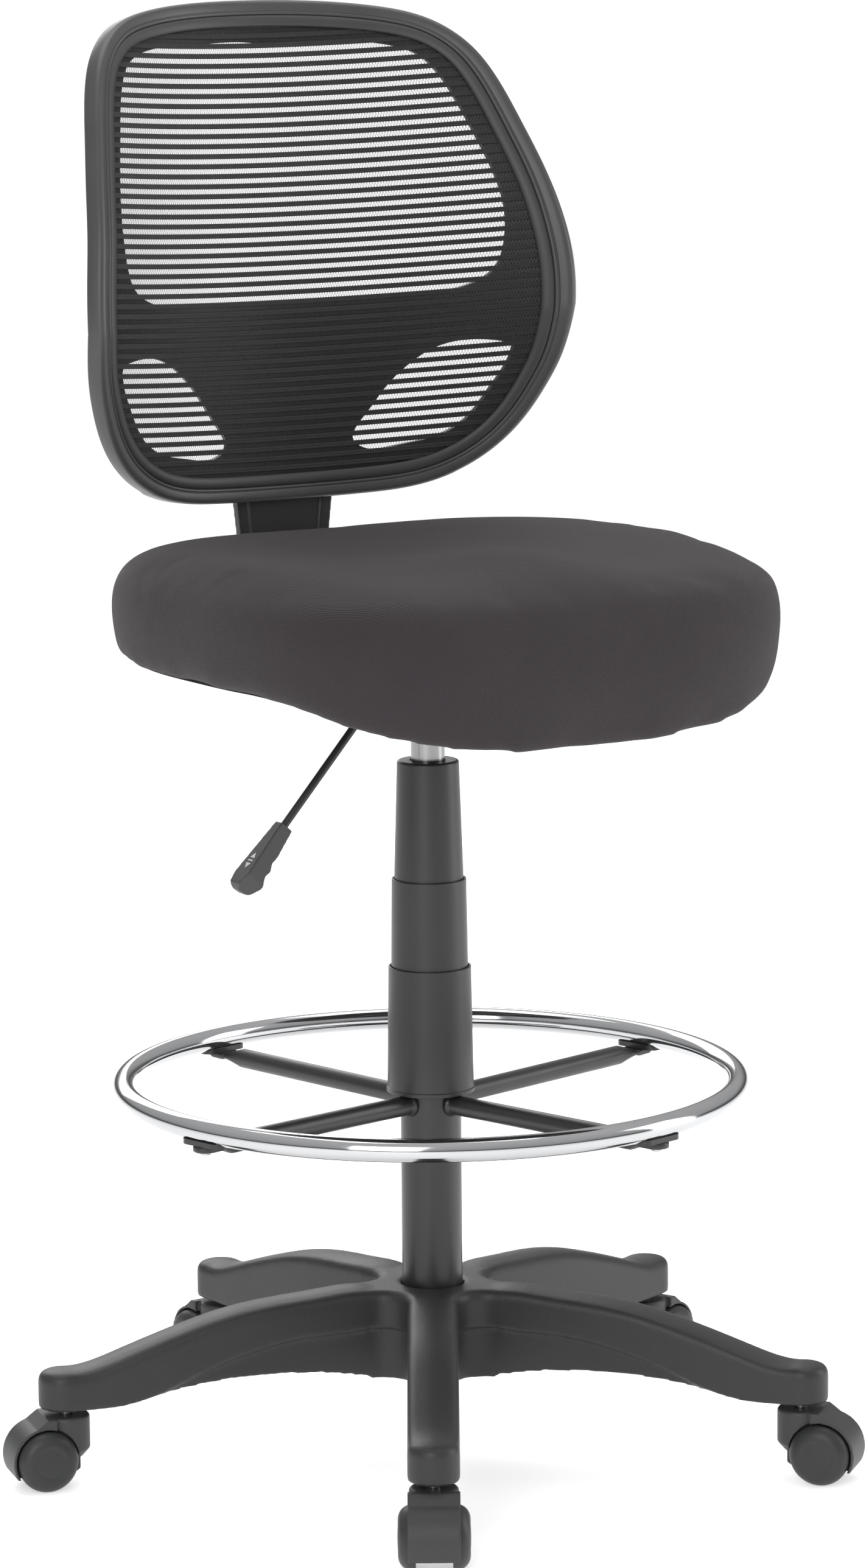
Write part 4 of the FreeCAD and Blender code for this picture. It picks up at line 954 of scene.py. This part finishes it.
# ---------------------------------------------------------------- foot ring and lever icon
def make_lever_icon():
    """Generic up and down arrows printed on the lever's grip."""
    along = Vector((LEVER_DOWN[0], 0, LEVER_DOWN[1]))
    normal = Vector((LEVER_DOWN[1], 0, -LEVER_DOWN[0]))
    origin = Vector((LEVER_END[0], 0, LEVER_END[1])) * MM
    points = []
    faces = []
    for shape in ICON_SHAPES:
        start = len(points)
        count = len(shape)
        for lift in ICON_DEPTHS:
            for a, y in shape:
                height = GRIP_TOP + GRIP_RISE * a + lift
                points.append(origin + (along * a + normal * height + Vector((0, y, 0))) * MM)
        faces.append(tuple(start + k for k in reversed(range(count))))
        faces.append(tuple(start + count + k for k in range(count)))
        for k in range(count):
            after = (k + 1) % count
            faces.append((start + k, start + after, start + count + after, start + count + k))
    return new_piece("lever_icon", points, faces, smooth=False)


def make_foot_ring():
    low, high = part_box("foot_ring")
    tube = (high.z - low.z) / 2
    radius = high.x - tube
    middle = (high.z + low.z) / 2
    around, across = 288, 40
    points = []
    for i in range(around):
        a = TURN * i / around
        for j in range(across):
            b = TURN * j / across
            r = radius + tube * math.cos(b)
            points.append((r * math.cos(a), r * math.sin(a), middle + tube * math.sin(b)))
    return new_piece("foot_ring_chrome", points, ring_faces(around, across, close_rows=True))


# ---------------------------------------------------------------- everything
def build():
    bpy.context.scene.view_settings.view_transform = "Standard"
    make_camera()
    make_lights()
    materials = make_materials()
    dress_cad_nodes(materials)

    corners = [(x * FLOOR_HALF, y * FLOOR_HALF, 0) for x, y in CORNERS]
    floor = new_piece("floor", corners, [(0, 1, 2, 3)], smooth=False)
    paint(floor, floor_paint("floor_paint"))

    star = moulded("base_star", "base_star_moulding", voxel=2.0 * MM, rounds=7)
    place_piece(star, "base", "base_nylon", materials["base_nylon"], "base_star")
    for i in range(1, 6):
        hood = moulded(f"caster_hood_{i}", f"caster_hood_moulding_{i}", voxel=0.8 * MM, rounds=3)
        place_piece(hood, f"caster_{i}", "hood_nylon", materials["hood_nylon"], f"caster_hood_{i}")
    for i in range(1, 5):
        spoke = moulded(f"foot_ring_spoke_{i}", f"foot_ring_spoke_tube_{i}", voxel=1.0 * MM, rounds=4)
        place_piece(spoke, "base", "spoke_paint", materials["spoke_paint"], f"foot_ring_spoke_{i}")
    paddle = moulded("lever_paddle", "lever_paddle_grip", voxel=0.6 * MM, rounds=5)
    place_piece(paddle, "lever", "paddle_plastic", materials["paddle_plastic"], "lever_paddle")
    place_piece(make_lever_icon(), "lever", "white_nylon", white_ink("white_ink"))
    bracket = moulded("back_bracket", "back_bracket_bar", voxel=0.9 * MM, rounds=2)
    place_piece(bracket, "seat", "bracket_steel", materials["bracket_steel"], "back_bracket")

    place_piece(make_foot_ring(), "base", "chrome_ring", materials["chrome_ring"], "foot_ring")
    place_piece(make_rim(), "seat", "back_plastic", materials["back_plastic"], "back_rim")
    place_piece(make_bead(), "seat", "bead_plastic", materials["bead_plastic"], "mesh_bead")
    panel = place_piece(make_mesh_panel(), "seat", "back_mesh", materials["back_mesh"], "mesh_panel")
    cushion = place_piece(make_cushion(), "seat", "seat_fabric", materials["seat_fabric"], "seat_cushion")
    place_piece(make_hem(), "seat", "seat_fabric", materials["seat_fabric"])
    place_piece(make_staples(), "seat", "zinc_screws", materials["zinc_screws"])


build()
